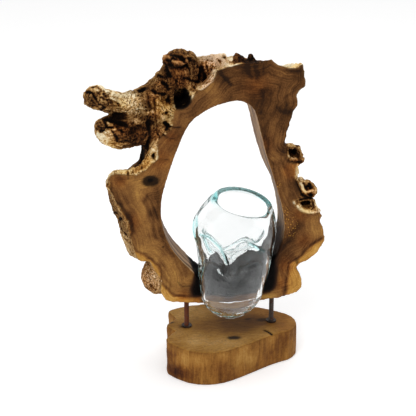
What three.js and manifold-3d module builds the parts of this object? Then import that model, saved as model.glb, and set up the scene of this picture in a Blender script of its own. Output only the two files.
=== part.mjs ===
// A glass vase slumped over the lower bar of a root-wood ring, which stands on two threaded rods above a
// wooden base block. Millimetres, +Z up, +X to the viewer's right, +Y away from the viewer.
// The origin is the middle of the underside of the base.
import * as THREE from 'three';
import { mergeVertices } from 'three/addons/utils/BufferGeometryUtils.js';
import Module from 'manifold-3d';

const wasm = await Module();
wasm.setup();

// Base block
const baseThickness = 42.9;
const baseSlope = 0.028;
const baseEdge = 0.8;
// The plan of the block, from its left front corner round the front, right and back
const basePlan = {
  frontCurve: [
    [-80, -34], [-70, -48], [-56, -60], [-38, -66], [-18, -65], [3, -56.5], [26, -44.5], [48, -33], [68, -26],
  ],
  rightCurve: [[68, -26], [78, -17], [81.5, -5], [80, 8], [71, 20], [57, 31]],
  backCurve: [[57, 31], [38, 40], [10, 49], [-20, 54], [-46, 51], [-66, 43]],
  leftNotches: [[-68, 38], [-61, 20], [-75, 7], [-75, 3], [-67, -9], [-80, -26]],
};

// Threaded rods with their nuts and washers
const rodDiameter = 6;
const rodSpacing = 103;
const rodFree = 43.1;
const rodSink = 30;
const rodSides = 16;
const holeClearance = 0.3;
const touchGap = 0.3;
const washerDiameter = 12;
const washerThickness = 1.6;
const plateDiameter = 18;
const nutFlats = 10;
const nutHeight = 5;
const nutInset = 2;
const rodTail = 1.5;
const counterboreDiameter = 22;
// How far a cutting shape runs past the face it opens
const cutReach = 1;

// Root-wood ring, drawn in its own frame: x as above, z from the ring's underside
const slabDepth = 54;
// How far the opening has moved right and down where it reaches the back
const openingDrift = 4;
const openingFall = 5.5;
// The sawn front face, clockwise from the hollow beside the burl: x and z on the front, then how far the
// natural edge has moved in x and z where it reaches the back
const edgeOutline = [
  [-62, 246, 2, -8], [-54, 245, 2, -8], [-50, 256, 0, -8], [-44, 262, 0, -8], [-33, 270, 0, -8],
  [-27, 279, 0, -8], [-19, 285, 0, -8], [-8, 288, 0, -8], [6, 291, 0, -8], [28, 290, 0, -12],
  [40, 294, 0, -24], [46, 288, 0, -20], [60, 283, -2, -15], [69, 283, -4, -15], [75, 288, -6, -18],
  [79, 264, -8, -12], [78, 260, -8, -11], [71, 255, -6, -10], [69, 250, -6, -9], [71, 239, -8, -8],
  [66, 232, -6, -8], [60, 211, -6, -6], [57, 194, -4, -4], [59, 182, -4, -3], [66, 171, -7, -3],
  [71, 165, -9, -4], [73, 157, -9, -5], [73, 149, -8, -6], [75, 141, -8, -7], [80, 132, -10, -8],
  [91, 127, -13, -12], [94, 124, -13, -12], [98, 111, -12, -7], [103, 103, -12, -5], [101, 96, -10, -4],
  [106, 83, -12, 0], [107, 70, -12, 2], [98, 55, -9, 4], [88, 47, -7, 5], [78, 43, -5, 5], [75, 38, -5, 5],
  [81, 24, -8, 6], [82, 13, -8, 6], [76, 6, -7, 6], [66, 3, -5, 6], [52, 0, 0, 6], [34, -1, 0, 7],
  [0, 0, 0, 5], [-43, 2, 0, 5], [-58, 4, 2, 5], [-75, 6.5, 4, 5], [-81, 10, 4, 4], [-86, 20, 4, 2],
  [-85, 36, 4, 0], [-93, 49, 2, -2], [-98, 61, -4, -16], [-106, 61.5, -8, -18], [-112, 66, -6, -14],
  [-116, 80, -8, -10], [-120, 97, -7, -14], [-123, 106, -6, -13], [-125, 117, -8, -15], [-132, 129, -5, -10],
  [-138, 147, -2, -12], [-145, 157, 5, -14], [-141, 171, 9, -22], [-134, 175.5, 6, -24], [-119, 175, 3, -22],
  [-105, 180, 3, -16], [-100, 191, 4, -8], [-93, 199, 4, -4],
  [-86, 212, 4, -4], [-75, 223, 4, -4], [-69, 233, 4, -6], [-68, 242, 4, -8],
];
// The sanded edge of the opening, from the right end of the bar up, over and down to its left end
const openingCurve = [
  [49, 56], [55, 70], [58, 84], [58, 97], [54.5, 120], [44.5, 154], [35, 184], [29, 208], [24, 228], [17, 242],
  [2, 248], [-12, 246], [-27, 241], [-45, 231], [-56, 216], [-64, 197], [-72, 175], [-79, 153], [-84, 126],
  [-81, 98], [-72, 75], [-61, 59], [-49, 45],
];
const openingSteps = 44;
// The charred top of the bar, from its left end to its right end: two humps and the valley between them
const charredTop = [
  [-42, 37], [-36, 32], [-31, 35], [-24, 45], [-18, 41], [-12, 33], [-1, 23], [5, 26], [10, 31], [15, 38],
  [22, 43], [29, 44], [36, 41], [42, 47],
];
// Natural growths that stand out of the slab: points on the middle line of each, with its radius there and
// the share of that radius it has from front to back
const growths = {
  trunk: {
    path: [[-91, -2, 165], [-88, -3, 190], [-88, -4, 215], [-85, -4, 238], [-75, -3, 256], [-64, -2, 268]],
    radius: [14, 14, 23, 26, 21, 17],
    flatness: 0.95,
  },
  crown: {
    path: [[-84, 4, 236], [-64, 5, 254], [-44, 5, 268], [-32, 5, 273], [-18, 4, 277], [-2, 4, 282]],
    radius: [22, 25, 22, 18, 16, 11],
    flatness: 0.85,
  },
  burl: {
    path: [[-64, -2, 256], [-60, -3, 270], [-57, -5, 283], [-59, -6, 294], [-62, -6, 301.5]],
    radius: [18, 22, 21, 19.5, 10],
    flatness: 1.15,
  },
  upperStub: {
    path: [
      [-84, -6, 246], [-104, -9, 245], [-122, -14, 246], [-140, -20, 254], [-153, -25, 261], [-162, -28, 264],
    ],
    radius: [23, 17, 13.5, 12.5, 13, 10],
    flatness: 1,
  },
  lowerStub: {
    path: [[-92, -6, 219], [-112, -11, 218], [-130, -18, 218], [-142, -24, 223], [-150, -29, 229]],
    radius: [20, 21, 20.5, 16, 9],
    flatness: 1,
  },
  rearBulge: {
    path: [[-70, 4, 30], [-80, 2, 31], [-88, 1, 32], [-96, 1, 34], [-102, 1, 36]],
    radius: [16, 26, 26, 20, 10],
    flatness: 0.85,
  },
  curledKnot: {
    path: [[68, -14, 134], [78, -13, 135], [86, -14, 132], [92, -15, 129], [96, -15, 127]],
    radius: [9, 11, 11, 9, 5],
    flatness: 0.8,
  },
  nearNub: { path: [[7, -8, 276], [7, -8, 290], [4, -8, 296]], radius: [9, 7, 2.5], flatness: 1 },
  farNub: { path: [[22, -8, 274], [21, -8, 288], [20, -8, 295]], radius: [8, 5, 2], flatness: 1 },
};
// A hollow knot stands out of the right edge like a box, and falls towards the back
const boxKnot = {
  outline: [[50, 193], [58, 194], [73, 191], [79, 173], [78, 170], [70, 167], [54, 172]],
  depth: 20,
  fall: 5,
  taper: 0.75,
};
const growthSides = 12;
// Hollows cut into the wood from the front: outline, and how far they reach behind the front face
const hollows = {
  burlHollow: {
    outline: [[-67, 250], [-65, 263], [-59, 267], [-54, 260], [-54, 249], [-60, 246]],
    depth: 34,
  },
  boxHollow: { outline: [[60, 188], [70, 188], [74, 183], [76, 175], [69, 174], [62, 178]], depth: 18 },
  lowHollow: { outline: [[76, 121], [83, 123], [91, 121], [91, 111], [84, 111], [78, 115]], depth: 16 },
};
const hollowTaper = 0.6;

// Glass vase, drawn in the ring's frame
const glassWall = 4;
const lipWall = 7;
const lipHeight = 3;
// The rounding of the lip: shares of its wall taken off at shares of its height
const lipRounding = [[0.12, 0.7], [0.32, 1]];
const bottomWall = 5;
const mouthTilt = THREE.MathUtils.degToRad(10.8);
const mouthPitch = THREE.MathUtils.degToRad(6);
const mouthRadius = 35.5;
const mouthCentre = [15, 0, 113.7];
// Each lobe ends in an egg shape below its level. The front one hangs before the bar, its tip to the left.
const frontLobe = { x: -5.3, y: -44, level: 27, wide: 36.8, deep: 24, drop: 38, tip: -1.2 };
const rearLobe = { x: 3, y: 36, level: 36, wide: 31, deep: 13, drop: 20, tip: 0 };
const lobePower = 1.2;
// The body above the lobes: centre x, y and z, half width, half depth and share of the mouth's tilt
const frontBody = [
  [-1.8, -35, 45, 41, 32, 0],
  [1.9, -22, 61, 43.6, 43, 0],
  [4, -13, 70, 45.2, 46, 0.05],
  [4.9, -8, 76, 47.4, 46.5, 0.1],
  [5.2, -4, 84, 48.8, 46, 0.2],
  [6, -2, 92, 48, 44.5, 0.35],
  [9.2, -1, 101, 44.5, 42, 0.65],
  [13, 0, 110, 39, 38, 0.9],
];
const rearBody = [
  [4, 28, 50, 35, 20, 0],
  [5, 16, 64, 38, 31, 0],
  [6, 5, 77, 42, 38.5, 0.1],
  [6, -1, 90, 46, 42.5, 0.3],
];
// How far the underside of the glass floor stands above where it would touch the charred top, from left to
// right, at the front face and at the back: it rests in the valley and behind the right hump, and along the
// front edge. Past the ends of the charred top it is measured from the last point there.
const floorRise = [
  [-64, 33, 33], [-46, 28, 32], [-34, 10, 33.5], [-24, 2, 15.5], [-16, 0, 8], [-9, 0, 0], [-1, 0, 0],
  [5, 0, 0], [9, 0.5, 9.5], [15, 2, 14.5], [22, 2, 13.5], [29, 1, 7.5], [35, 0, 0], [41, 1.5, 1.5],
  [48, 12.5, 12.5], [54, 26.5, 26.5], [56, 42.5, 42.5],
];
// Upright distance between glass and wood where the glass rests
const seatGap = 0.5;
const glassSides = 36;
const lobeSteps = 6;
// The lowest ring of a lobe, as a share of one step above its tip
const tipStep = 0.4;

// Finishes
const finishes = {
  oiledWood: { color: 0x9a6b33, roughness: 0.6, metalness: 0 },
  rootWood: { color: 0x8a5a2c, roughness: 0.65, metalness: 0 },
  rustySteel: { color: 0x5b3a2a, roughness: 0.7, metalness: 0.8 },
  darkSteel: { color: 0x3a302a, roughness: 0.6, metalness: 0.8 },
  clearGlass: { color: 0xd8f2ee, roughness: 0.05, metalness: 0 },
};

// A closed geometry as a solid that can be joined to others or cut by them
function solidOf(geometry) {
  const bare = geometry.clone();
  bare.deleteAttribute('normal');
  bare.deleteAttribute('uv');
  const merged = mergeVertices(bare, 1e-4);
  return new wasm.Manifold(new wasm.Mesh({
    numProp: 3,
    vertProperties: new Float32Array(merged.attributes.position.array),
    triVerts: new Uint32Array(merged.index.array),
  }));
}

function geometryOf(solid) {
  const mesh = solid.getMesh();
  const geometry = new THREE.BufferGeometry();
  geometry.setAttribute('position', new THREE.BufferAttribute(mesh.vertProperties, 3));
  geometry.setIndex(new THREE.BufferAttribute(mesh.triVerts, 1));
  geometry.computeVertexNormals();
  return geometry;
}

// A closed skin over rings of equally many points, with a fan over each end
function skin(rings) {
  const sides = rings[0].length;
  const points = rings.flat();
  const index = [];
  for (let r = 0; r + 1 < rings.length; r += 1) {
    for (let i = 0; i < sides; i += 1) {
      const a = r * sides + i;
      const b = r * sides + ((i + 1) % sides);
      index.push(a, b, a + sides, b, b + sides, a + sides);
    }
  }
  for (const [first, flip] of [[0, true], [(rings.length - 1) * sides, false]]) {
    const middle = new THREE.Vector3();
    for (let i = 0; i < sides; i += 1) {
      middle.addScaledVector(points[first + i], 1 / sides);
    }
    points.push(middle);
    for (let i = 0; i < sides; i += 1) {
      const a = first + i;
      const b = first + ((i + 1) % sides);
      index.push(...(flip ? [b, a, points.length - 1] : [a, b, points.length - 1]));
    }
  }
  const geometry = new THREE.BufferGeometry().setFromPoints(points);
  geometry.setIndex(index);
  return geometry;
}

// A closed skin between outlines in the XZ plane, one for each y, all with equally many points
function plate(layers) {
  const count = layers[0].outline.length;
  const points = layers.flatMap(({ y, outline }) => outline.map(([x, z]) => new THREE.Vector3(x, y, z)));
  const flat = layers[0].outline.map(([x, z]) => new THREE.Vector2(x, z));
  const turnsLeft = THREE.ShapeUtils.area(flat) > 0;
  const index = [];
  for (const [a, b, c] of THREE.ShapeUtils.triangulateShape(flat, [])) {
    const last = (layers.length - 1) * count;
    index.push(a, b, c, last + a, last + c, last + b);
  }
  for (let k = 0; k + 1 < layers.length; k += 1) {
    for (let i = 0; i < count; i += 1) {
      const a = k * count + i;
      const b = k * count + ((i + 1) % count);
      index.push(...(turnsLeft
        ? [a, a + count, b, b, a + count, b + count]
        : [a, b, a + count, b, b + count, a + count]));
    }
  }
  const geometry = new THREE.BufferGeometry().setFromPoints(points);
  geometry.setIndex(index);
  return geometry;
}

const scaledAbout = (outline, [cx, cz], scale) =>
  outline.map(([x, z]) => [cx + (x - cx) * scale, cz + (z - cz) * scale]);

const middleOf = (outline) => [
  outline.reduce((sum, [x]) => sum + x, 0) / outline.length,
  outline.reduce((sum, [, z]) => sum + z, 0) / outline.length,
];

const spline = (points, steps) =>
  new THREE.SplineCurve(points.map(([x, y]) => new THREE.Vector2(x, y)))
    .getPoints(steps)
    .map((p) => [p.x, p.y]);

// An outline given on the front face and carried to the back, where it may have changed to another of equally
// many points, moving right and down as the opening does
function driftingSolid(front, reach, back = front) {
  const driftedTo = (y) => {
    const share = 0.5 + y / slabDepth;
    return front.map(([x, z], i) => [
      x + share * (back[i][0] - x + openingDrift),
      z + share * (back[i][1] - z - openingFall),
    ]);
  };
  return solidOf(plate([{ y: -reach, outline: driftedTo(-reach) }, { y: reach, outline: driftedTo(reach) }]));
}

// An upright cylinder or prism between two heights
function upright(radius, low, high, sides = rodSides, turn = 0) {
  const geometry = new THREE.CylinderGeometry(radius, radius, high - low, sides, 1, false, turn);
  geometry.rotateX(Math.PI / 2);
  geometry.translate(0, 0, (low + high) / 2);
  return geometry;
}

// Heights shared by the base, the rods and what clamps them
const rodX = rodSpacing / 2;
const boreRadius = rodDiameter / 2 + holeClearance;
const topAt = (x) => baseThickness - baseSlope * x;
const plateLow = nutInset + nutHeight + touchGap;
const boreTop = plateLow + washerThickness + touchGap;
const ringLevel = baseThickness + rodFree;

function baseGeometry() {
  const outline = [
    ...spline(basePlan.frontCurve, 14).slice(0, -1),
    ...spline(basePlan.rightCurve, 8).slice(0, -1),
    ...spline(basePlan.backCurve, 8),
    ...basePlan.leftNotches,
  ];
  const plan = new THREE.Shape(outline.map(([x, y]) => new THREE.Vector2(x, y)));
  const block = new THREE.ExtrudeGeometry(plan, {
    depth: baseThickness - 2 * baseEdge,
    bevelThickness: baseEdge,
    bevelSize: baseEdge,
    bevelOffset: -baseEdge,
    bevelSegments: 1,
  });
  block.translate(0, 0, baseEdge);
  const corner = block.attributes.position;
  for (let i = 0; i < corner.count; i += 1) {
    if (corner.getZ(i) > baseThickness / 2) {
      corner.setZ(i, corner.getZ(i) - baseSlope * corner.getX(i));
    }
  }
  let solid = solidOf(block);
  for (const x of [-rodX, rodX]) {
    const bore = upright(boreRadius, -cutReach, topAt(x) + cutReach).translate(x, 0, 0);
    const counterbore = upright(counterboreDiameter / 2, -cutReach, boreTop, 2 * rodSides).translate(x, 0, 0);
    solid = solid.subtract(solidOf(bore)).subtract(solidOf(counterbore));
  }
  return geometryOf(solid);
}

// A growth is a run of rings square to its middle line
function growthGeometry({ path, radius, flatness }) {
  const points = path.map(([x, y, z]) => new THREE.Vector3(x, y, z));
  const rings = points.map((point, i) => {
    const along = new THREE.Vector3()
      .subVectors(points[Math.min(i + 1, points.length - 1)], points[Math.max(i - 1, 0)])
      .normalize();
    const side = new THREE.Vector3(0, 1, 0).addScaledVector(along, -along.y).normalize();
    const up = new THREE.Vector3().crossVectors(along, side);
    return Array.from({ length: growthSides }, (_, k) => {
      const angle = (2 * Math.PI * k) / growthSides;
      return point.clone()
        .addScaledVector(up, radius[i] * Math.sin(angle))
        .addScaledVector(side, radius[i] * flatness * Math.cos(angle));
    });
  });
  return skin(rings);
}

function ringGeometry() {
  const half = slabDepth / 2;
  const opening = [...spline(openingCurve, openingSteps), ...charredTop];
  const edgeAt = (share) => edgeOutline.map(([x, z, dx, dz]) => [x + share * dx, z + share * dz]);
  let solid = solidOf(plate([-1, -1 / 3, 1 / 3, 1].map((place) => (
    { y: place * half, outline: edgeAt((place + 1) / 2) }
  ))));
  const { outline: knot, depth: knotDepth, fall, taper } = boxKnot;
  const knotEnd = scaledAbout(knot, middleOf(knot), taper).map(([x, z]) => [x, z - fall]);
  solid = solid.add(solidOf(plate([{ y: -half, outline: knot }, { y: -half + knotDepth, outline: knotEnd }])));
  for (const growth of Object.values(growths)) {
    solid = solid.add(solidOf(growthGeometry(growth)));
  }
  solid = solid.subtract(driftingSolid(opening, slabDepth));
  for (const { outline, depth } of Object.values(hollows)) {
    solid = solid.subtract(solidOf(plate([
      { y: -slabDepth, outline },
      { y: -half, outline },
      { y: -half + depth, outline: scaledAbout(outline, middleOf(outline), hollowTaper) },
    ])));
  }
  for (const x of [-rodX, rodX]) {
    solid = solid.subtract(solidOf(upright(boreRadius, -cutReach, rodSink + touchGap).translate(x, 0, 0)));
  }
  return geometryOf(solid);
}

// One ring of the glass: an ellipse that leans down to the right and forward by a share of the mouth's angles
function glassRing(x, y, z, wide, deep, share) {
  const lean = new THREE.Euler(share * mouthPitch, share * mouthTilt, 0);
  return Array.from({ length: glassSides }, (_, k) => {
    const angle = (2 * Math.PI * k) / glassSides;
    return new THREE.Vector3(wide * Math.cos(angle), deep * Math.sin(angle), 0)
      .applyEuler(lean)
      .add(new THREE.Vector3(x, y, z));
  });
}

// The egg-shaped lower end of a lobe, from near its lowest point up to its widest ring
function lobeRings({ x, y, level, wide, deep, drop, tip }, inset) {
  const low = drop - (inset ? bottomWall : 0);
  return Array.from({ length: lobeSteps + 1 }, (_, k) => {
    const angle = ((k + tipStep) / (lobeSteps + tipStep)) * (Math.PI / 2);
    const round = Math.sin(angle) ** lobePower;
    const fall = Math.cos(angle);
    const [across, back] = [(wide - inset) * round, (deep - inset) * round];
    return glassRing(x + tip * fall, y, level - low * fall, across, back, 0);
  });
}

const bodyRings = (body, inset) =>
  body.map(([x, y, z, wide, deep, share]) => glassRing(x, y, z, wide - inset, deep - inset, share));

// A ring of the mouth, a height above its centre measured square to its plane
function mouthRing(radius, height) {
  const up = new THREE.Vector3(0, 0, height).applyEuler(new THREE.Euler(mouthPitch, mouthTilt, 0));
  const [x, y, z] = mouthCentre;
  return glassRing(x + up.x, y + up.y, z + up.z, radius, radius, 1);
}

// The path moved square to itself by a distance, upwards for a path that runs from left to right
function offsetPath(path, distance) {
  return path.map((point, i) => {
    const here = new THREE.Vector2(...point);
    const before = new THREE.Vector2(...path[Math.max(i - 1, 0)]);
    const after = new THREE.Vector2(...path[Math.min(i + 1, path.length - 1)]);
    const into = (i ? here.clone().sub(before) : after.clone().sub(here)).normalize();
    const out = (i + 1 < path.length ? after.clone().sub(here) : into.clone()).normalize();
    const square = new THREE.Vector2(-into.y - out.y, into.x + out.x).normalize();
    const stretch = distance / (square.x * -into.y + square.y * into.x);
    return [here.x + square.x * stretch, here.y + square.y * stretch];
  });
}

// The height of the charred top at x on the front face, the same as at its end for an x past it
function woodAt(x) {
  const right = charredTop.findIndex(([at]) => at >= x);
  if (right <= 0) {
    return charredTop[right === 0 ? 0 : charredTop.length - 1][1];
  }
  const [[x0, z0], [x1, z1]] = charredTop.slice(right - 1, right + 1);
  return z0 + ((z1 - z0) * (x - x0)) / (x1 - x0);
}

// The space that the bar takes out of the glass, grown by a distance
function saddleSolid(distance) {
  const below = -slabDepth;
  const [front, back] = [1, 2].map((side) => {
    const floorLine = floorRise.map((place) => [place[0], woodAt(place[0]) + seatGap + place[side]]);
    const line = offsetPath(floorLine, distance);
    return [...line, [line[line.length - 1][0], below], [line[0][0], below]];
  });
  return driftingSolid(front, slabDepth / 2 + touchGap + distance, back);
}

function vaseGeometry() {
  const innerLip = mouthRadius - lipWall;
  const outside = [
    ...lobeRings(frontLobe, 0),
    ...bodyRings(frontBody, 0),
    mouthRing(mouthRadius, 0),
    ...lipRounding.map(([off, up]) => mouthRing(mouthRadius - off * lipWall, up * lipHeight)),
  ];
  const inside = [
    ...lobeRings(frontLobe, glassWall),
    ...bodyRings(frontBody, glassWall),
    mouthRing(innerLip, 0),
    ...lipRounding.map(([off, up]) => mouthRing(innerLip + off * lipWall, up * lipHeight)),
    mouthRing(innerLip + lipRounding.at(-1)[0] * lipWall, lipHeight + cutReach),
  ];
  const rearOutside = [...lobeRings(rearLobe, 0), ...bodyRings(rearBody, 0)];
  const rearInside = [...lobeRings(rearLobe, glassWall), ...bodyRings(rearBody, glassWall)];
  const outer = solidOf(skin(outside)).add(solidOf(skin(rearOutside))).subtract(saddleSolid(0));
  const hollow = solidOf(skin(inside)).add(solidOf(skin(rearInside))).subtract(saddleSolid(glassWall));
  return geometryOf(outer.subtract(hollow));
}

function collarGeometry(radius, height, sides, turn = 0) {
  const body = solidOf(upright(radius, 0, height, sides, turn));
  return geometryOf(body.subtract(solidOf(upright(boreRadius, -cutReach, height + cutReach))));
}

const object = new THREE.Group();
const materials = Object.fromEntries(
  Object.entries(finishes).map(([name, looks]) => [name, new THREE.MeshStandardMaterial({ name, ...looks })]),
);

function addPiece(parent, name, geometry, finish, [x, y, z] = [0, 0, 0], lean = 0) {
  const mesh = new THREE.Mesh(geometry, materials[finish]);
  mesh.name = name;
  mesh.position.set(x, y, z);
  mesh.rotation.y = lean;
  parent.add(mesh);
}

addPiece(object, 'base_block', baseGeometry(), 'oiledWood');

const ring = new THREE.Group();
ring.position.z = ringLevel;
object.add(ring);
addPiece(ring, 'root_ring', ringGeometry(), 'rootWood');
addPiece(ring, 'glass_vase', vaseGeometry(), 'clearGlass');

const nutCorner = nutFlats / 2 / Math.cos(Math.PI / 6);
for (const [side, x] of [['left', -rodX], ['right', rodX]]) {
  const lean = Math.atan(baseSlope);
  const rod = upright(rodDiameter / 2, nutInset - rodTail, ringLevel + rodSink);
  addPiece(object, `${side}_post`, rod, 'rustySteel', [x, 0, 0]);
  const washer = collarGeometry(washerDiameter / 2, washerThickness, 2 * rodSides);
  addPiece(object, `${side}_washer`, washer, 'darkSteel', [x, 0, topAt(x) + touchGap], lean);
  const plateRing = collarGeometry(plateDiameter / 2, washerThickness, 2 * rodSides);
  addPiece(object, `${side}_plate`, plateRing, 'darkSteel', [x, 0, plateLow]);
  const nut = collarGeometry(nutCorner, nutHeight, 6);
  addPiece(object, `${side}_nut`, nut, 'darkSteel', [x, 0, nutInset]);
}

export default object;
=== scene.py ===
# A glass vase slumped over the charred bar of a root wood ring that stands on a wooden base block.
# Everything is in metres in the frame of the CAD model; the sculpting works in millimetres.
import math

import bmesh
import bpy
import numpy as np
from mathutils import Euler, Matrix, Vector
from mathutils.bvhtree import BVHTree


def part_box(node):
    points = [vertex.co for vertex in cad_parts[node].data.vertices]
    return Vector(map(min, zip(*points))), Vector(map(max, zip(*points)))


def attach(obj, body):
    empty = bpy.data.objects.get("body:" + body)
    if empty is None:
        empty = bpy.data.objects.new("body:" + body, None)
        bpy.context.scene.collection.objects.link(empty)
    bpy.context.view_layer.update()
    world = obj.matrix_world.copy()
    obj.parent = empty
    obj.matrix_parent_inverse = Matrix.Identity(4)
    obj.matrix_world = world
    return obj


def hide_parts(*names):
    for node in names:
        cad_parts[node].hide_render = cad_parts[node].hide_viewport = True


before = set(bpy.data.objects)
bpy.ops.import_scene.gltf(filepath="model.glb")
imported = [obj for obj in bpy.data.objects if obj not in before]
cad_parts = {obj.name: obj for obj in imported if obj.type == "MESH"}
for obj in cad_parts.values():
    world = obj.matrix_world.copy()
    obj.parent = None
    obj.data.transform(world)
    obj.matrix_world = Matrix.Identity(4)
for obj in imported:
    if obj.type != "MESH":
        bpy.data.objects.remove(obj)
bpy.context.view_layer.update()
print("frame loaded", list(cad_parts))


# Numbers on meshes
def pointsOf(mesh):
    flat = np.empty(len(mesh.vertices) * 3, dtype=np.float32)
    mesh.vertices.foreach_get("co", flat)
    return flat.reshape(-1, 3).astype(float) * 1000  # millimetres


def normalsOf(mesh):
    flat = np.empty(len(mesh.vertices) * 3, dtype=np.float32)
    mesh.vertex_normals.foreach_get("vector", flat)
    return flat.reshape(-1, 3).astype(float)


def edgesOf(mesh):
    flat = np.empty(len(mesh.edges) * 2, dtype=np.int32)
    mesh.edges.foreach_get("vertices", flat)
    return flat.reshape(-1, 2)


def movePoints(mesh, points):
    mesh.vertices.foreach_set("co", (points / 1000).astype(np.float32).ravel())
    mesh.update()


def keepValue(mesh, name, values):
    mesh.attributes.new(name, "FLOAT", "POINT").data.foreach_set("value", values.astype(np.float32))


def keepShare(mesh, name, values):
    keepValue(mesh, name, np.clip(values, 0, 1))


def keepLargest(mesh):
    # Only the largest connected skin stays, without the specks that a remesh leaves in thin walls
    edges = edgesOf(mesh)
    label = np.arange(len(mesh.vertices))
    settled = False
    while not settled:
        lower = label.copy()
        np.minimum.at(lower, edges[:, 0], label[edges[:, 1]])
        np.minimum.at(lower, edges[:, 1], label[edges[:, 0]])
        lower = lower[lower]
        settled = (lower == label).all()
        label = lower
    specks = np.flatnonzero(label != np.bincount(label).argmax())
    skin = bmesh.new()
    skin.from_mesh(mesh)
    skin.verts.ensure_lookup_table()
    bmesh.ops.delete(skin, geom=[skin.verts[k] for k in specks], context="VERTS")
    skin.to_mesh(mesh)
    skin.free()


def fineCopy(node, name, voxel, plugs=()):
    # The CAD piece as an even skin of small squares, ready to be sculpted; plugs close holes in it
    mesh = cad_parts[node].data.copy()
    filled = bmesh.new()
    filled.from_mesh(mesh)
    for middle, size in plugs:
        place = Matrix.Translation(Vector(middle) / 1000) @ Matrix.Diagonal((*(Vector(size) / 1000), 1))
        bmesh.ops.create_cube(filled, size=1, matrix=place)
    filled.to_mesh(mesh)
    filled.free()
    piece = bpy.data.objects.new(name, mesh)
    bpy.context.collection.objects.link(piece)
    finer = piece.modifiers.new("finer", "REMESH")
    finer.mode = "VOXEL"
    finer.voxel_size = voxel
    mesh = bpy.data.meshes.new_from_object(piece.evaluated_get(bpy.context.evaluated_depsgraph_get()))
    piece.modifiers.clear()
    piece.data = mesh
    keepLargest(mesh)
    mesh.materials.clear()
    for face in mesh.polygons:
        face.use_smooth = True
    return piece


def spread(values, edges, rounds, share=0.5, hold=None):
    # Each point's value moves towards the mean of its neighbours
    columns = values.reshape(len(values), -1).copy()
    count = np.bincount(edges.ravel(), minlength=len(columns)).astype(float)[:, None]
    weight = 1.0 if hold is None else hold[:, None]
    steps = share if isinstance(share, tuple) else (share,)
    for _ in range(rounds):
        for step in steps:
            total = np.stack([
                np.bincount(edges[:, 0], weights=columns[edges[:, 1], k], minlength=len(columns))
                + np.bincount(edges[:, 1], weights=columns[edges[:, 0], k], minlength=len(columns))
                for k in range(columns.shape[1])
            ], axis=1)
            columns += weight * step * (total / count - columns)
    return columns.reshape(values.shape)


# Noise from a grid of random numbers, which repeats after its cells
noiseCells = 29
noiseShift = 900.37
inAndOut = (0.6, -0.62)  # smoothing steps that take corners off and keep the size


def softNoise(points, size, seed):
    # Smooth noise from -1 to 1; size is the grain in millimetres, one number or one for each axis
    grid = np.random.default_rng(seed).uniform(-1, 1, (noiseCells, noiseCells, noiseCells))
    place = points / np.asarray(size, float) + noiseShift
    cell = np.floor(place).astype(int)
    part = place - cell
    part = part * part * (3 - 2 * part)
    low, high = cell % noiseCells, (cell + 1) % noiseCells
    total = np.zeros(len(points))
    for corner in range(8):
        pick = [(corner >> axis) & 1 for axis in range(3)]
        index = [np.where(pick[axis], high[:, axis], low[:, axis]) for axis in range(3)]
        share = np.prod([part[:, axis] if pick[axis] else 1 - part[:, axis] for axis in range(3)], axis=0)
        total += share * grid[index[0], index[1], index[2]]
    return total


def layered(points, size, seed, layers=3):
    size = np.asarray(size, float)
    return sum(softNoise(points, size / 2 ** k, seed + 17 * k) / 2 ** k for k in range(layers))


def ridged(points, size, seed):
    return 1 - np.abs(layered(points, size, seed, 2))


def swayed(points, size, seeds, layers=3):
    # A sideways move for each point, one layer of noise for each axis
    return np.stack([layered(points, size, seed, layers) for seed in seeds], axis=1)


def soft(values, low, high):
    share = np.clip((values - low) / (high - low), 0, 1)
    return share * share * (3 - 2 * share)


def reach(places, line, closed=False):
    # Distance of places to a line of points, both flat or both in space
    line = np.asarray(line, float)
    ends = np.roll(line, -1, axis=0) if closed else line[1:]
    best = np.full(len(places), 1e9)
    for start, end in zip(line, ends):
        along = end - start
        share = np.clip(((places - start) @ along) / max(along @ along, 1e-9), 0, 1)
        best = np.minimum(best, np.linalg.norm(places - start - share[:, None] * along, axis=1))
    return best


def within(flat, outline):
    outline = np.asarray(outline, float)
    inside = np.zeros(len(flat), bool)
    for (x0, z0), (x1, z1) in zip(outline, np.roll(outline, -1, axis=0)):
        if z0 != z1:
            crosses = ((z0 > flat[:, 1]) != (z1 > flat[:, 1]))
            inside ^= crosses & (flat[:, 0] < x0 + (flat[:, 1] - z0) * (x1 - x0) / (z1 - z0))
    return inside


def depthIn(flat, outline, line=None):
    # How far inside an outline each place lies, from all of it or from one line of it; outside is negative
    away = reach(flat, outline, closed=True) if line is None else reach(flat, line)
    return np.where(within(flat, outline), away, -away)


def egg(points, middle, size):
    # Distance from a middle, where 1 is the skin of an egg of that half size
    return np.sqrt((((points - np.array(middle)) / np.array(size)) ** 2).sum(axis=1))


def around(points, places):
    # The sum of soft round patches: x, y, z (or x, z), size and, if given, amount
    total = np.zeros(len(points))
    wide = points.shape[1]
    for place in places:
        far = ((points - np.array(place[:wide])) ** 2).sum(axis=1) / place[wide] ** 2
        total += (place[wide + 1] if len(place) > wide + 1 else 1.0) * np.exp(-far)
    return total


def toned(points, places, size, usual):
    # The tone of the nearest places, blended softly, and the usual tone far from them all
    wide = points.shape[1]
    weights, total = np.full(len(points), 0.002), np.full(len(points), 0.002 * usual)
    for place in places:
        far = ((points - np.array(place[:wide])) ** 2).sum(axis=1)
        weight = np.exp(-far / size ** 2) + 0.02 * np.exp(-far / (3 * size) ** 2)
        weights += weight
        total += weight * place[wide]
    return total / weights


# Nodes
def paint(red, green, blue):
    # A colour written as it looks on a screen, 0 to 255
    def linear(value):
        value /= 255
        return value / 12.92 if value <= 0.04045 else ((value + 0.055) / 1.055) ** 2.4
    return (linear(red), linear(green), linear(blue), 1.0)


def newFinish(name):
    finish = bpy.data.materials.new(name)
    finish.use_nodes = True
    finish.node_tree.nodes.clear()
    return finish, finish.node_tree


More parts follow.
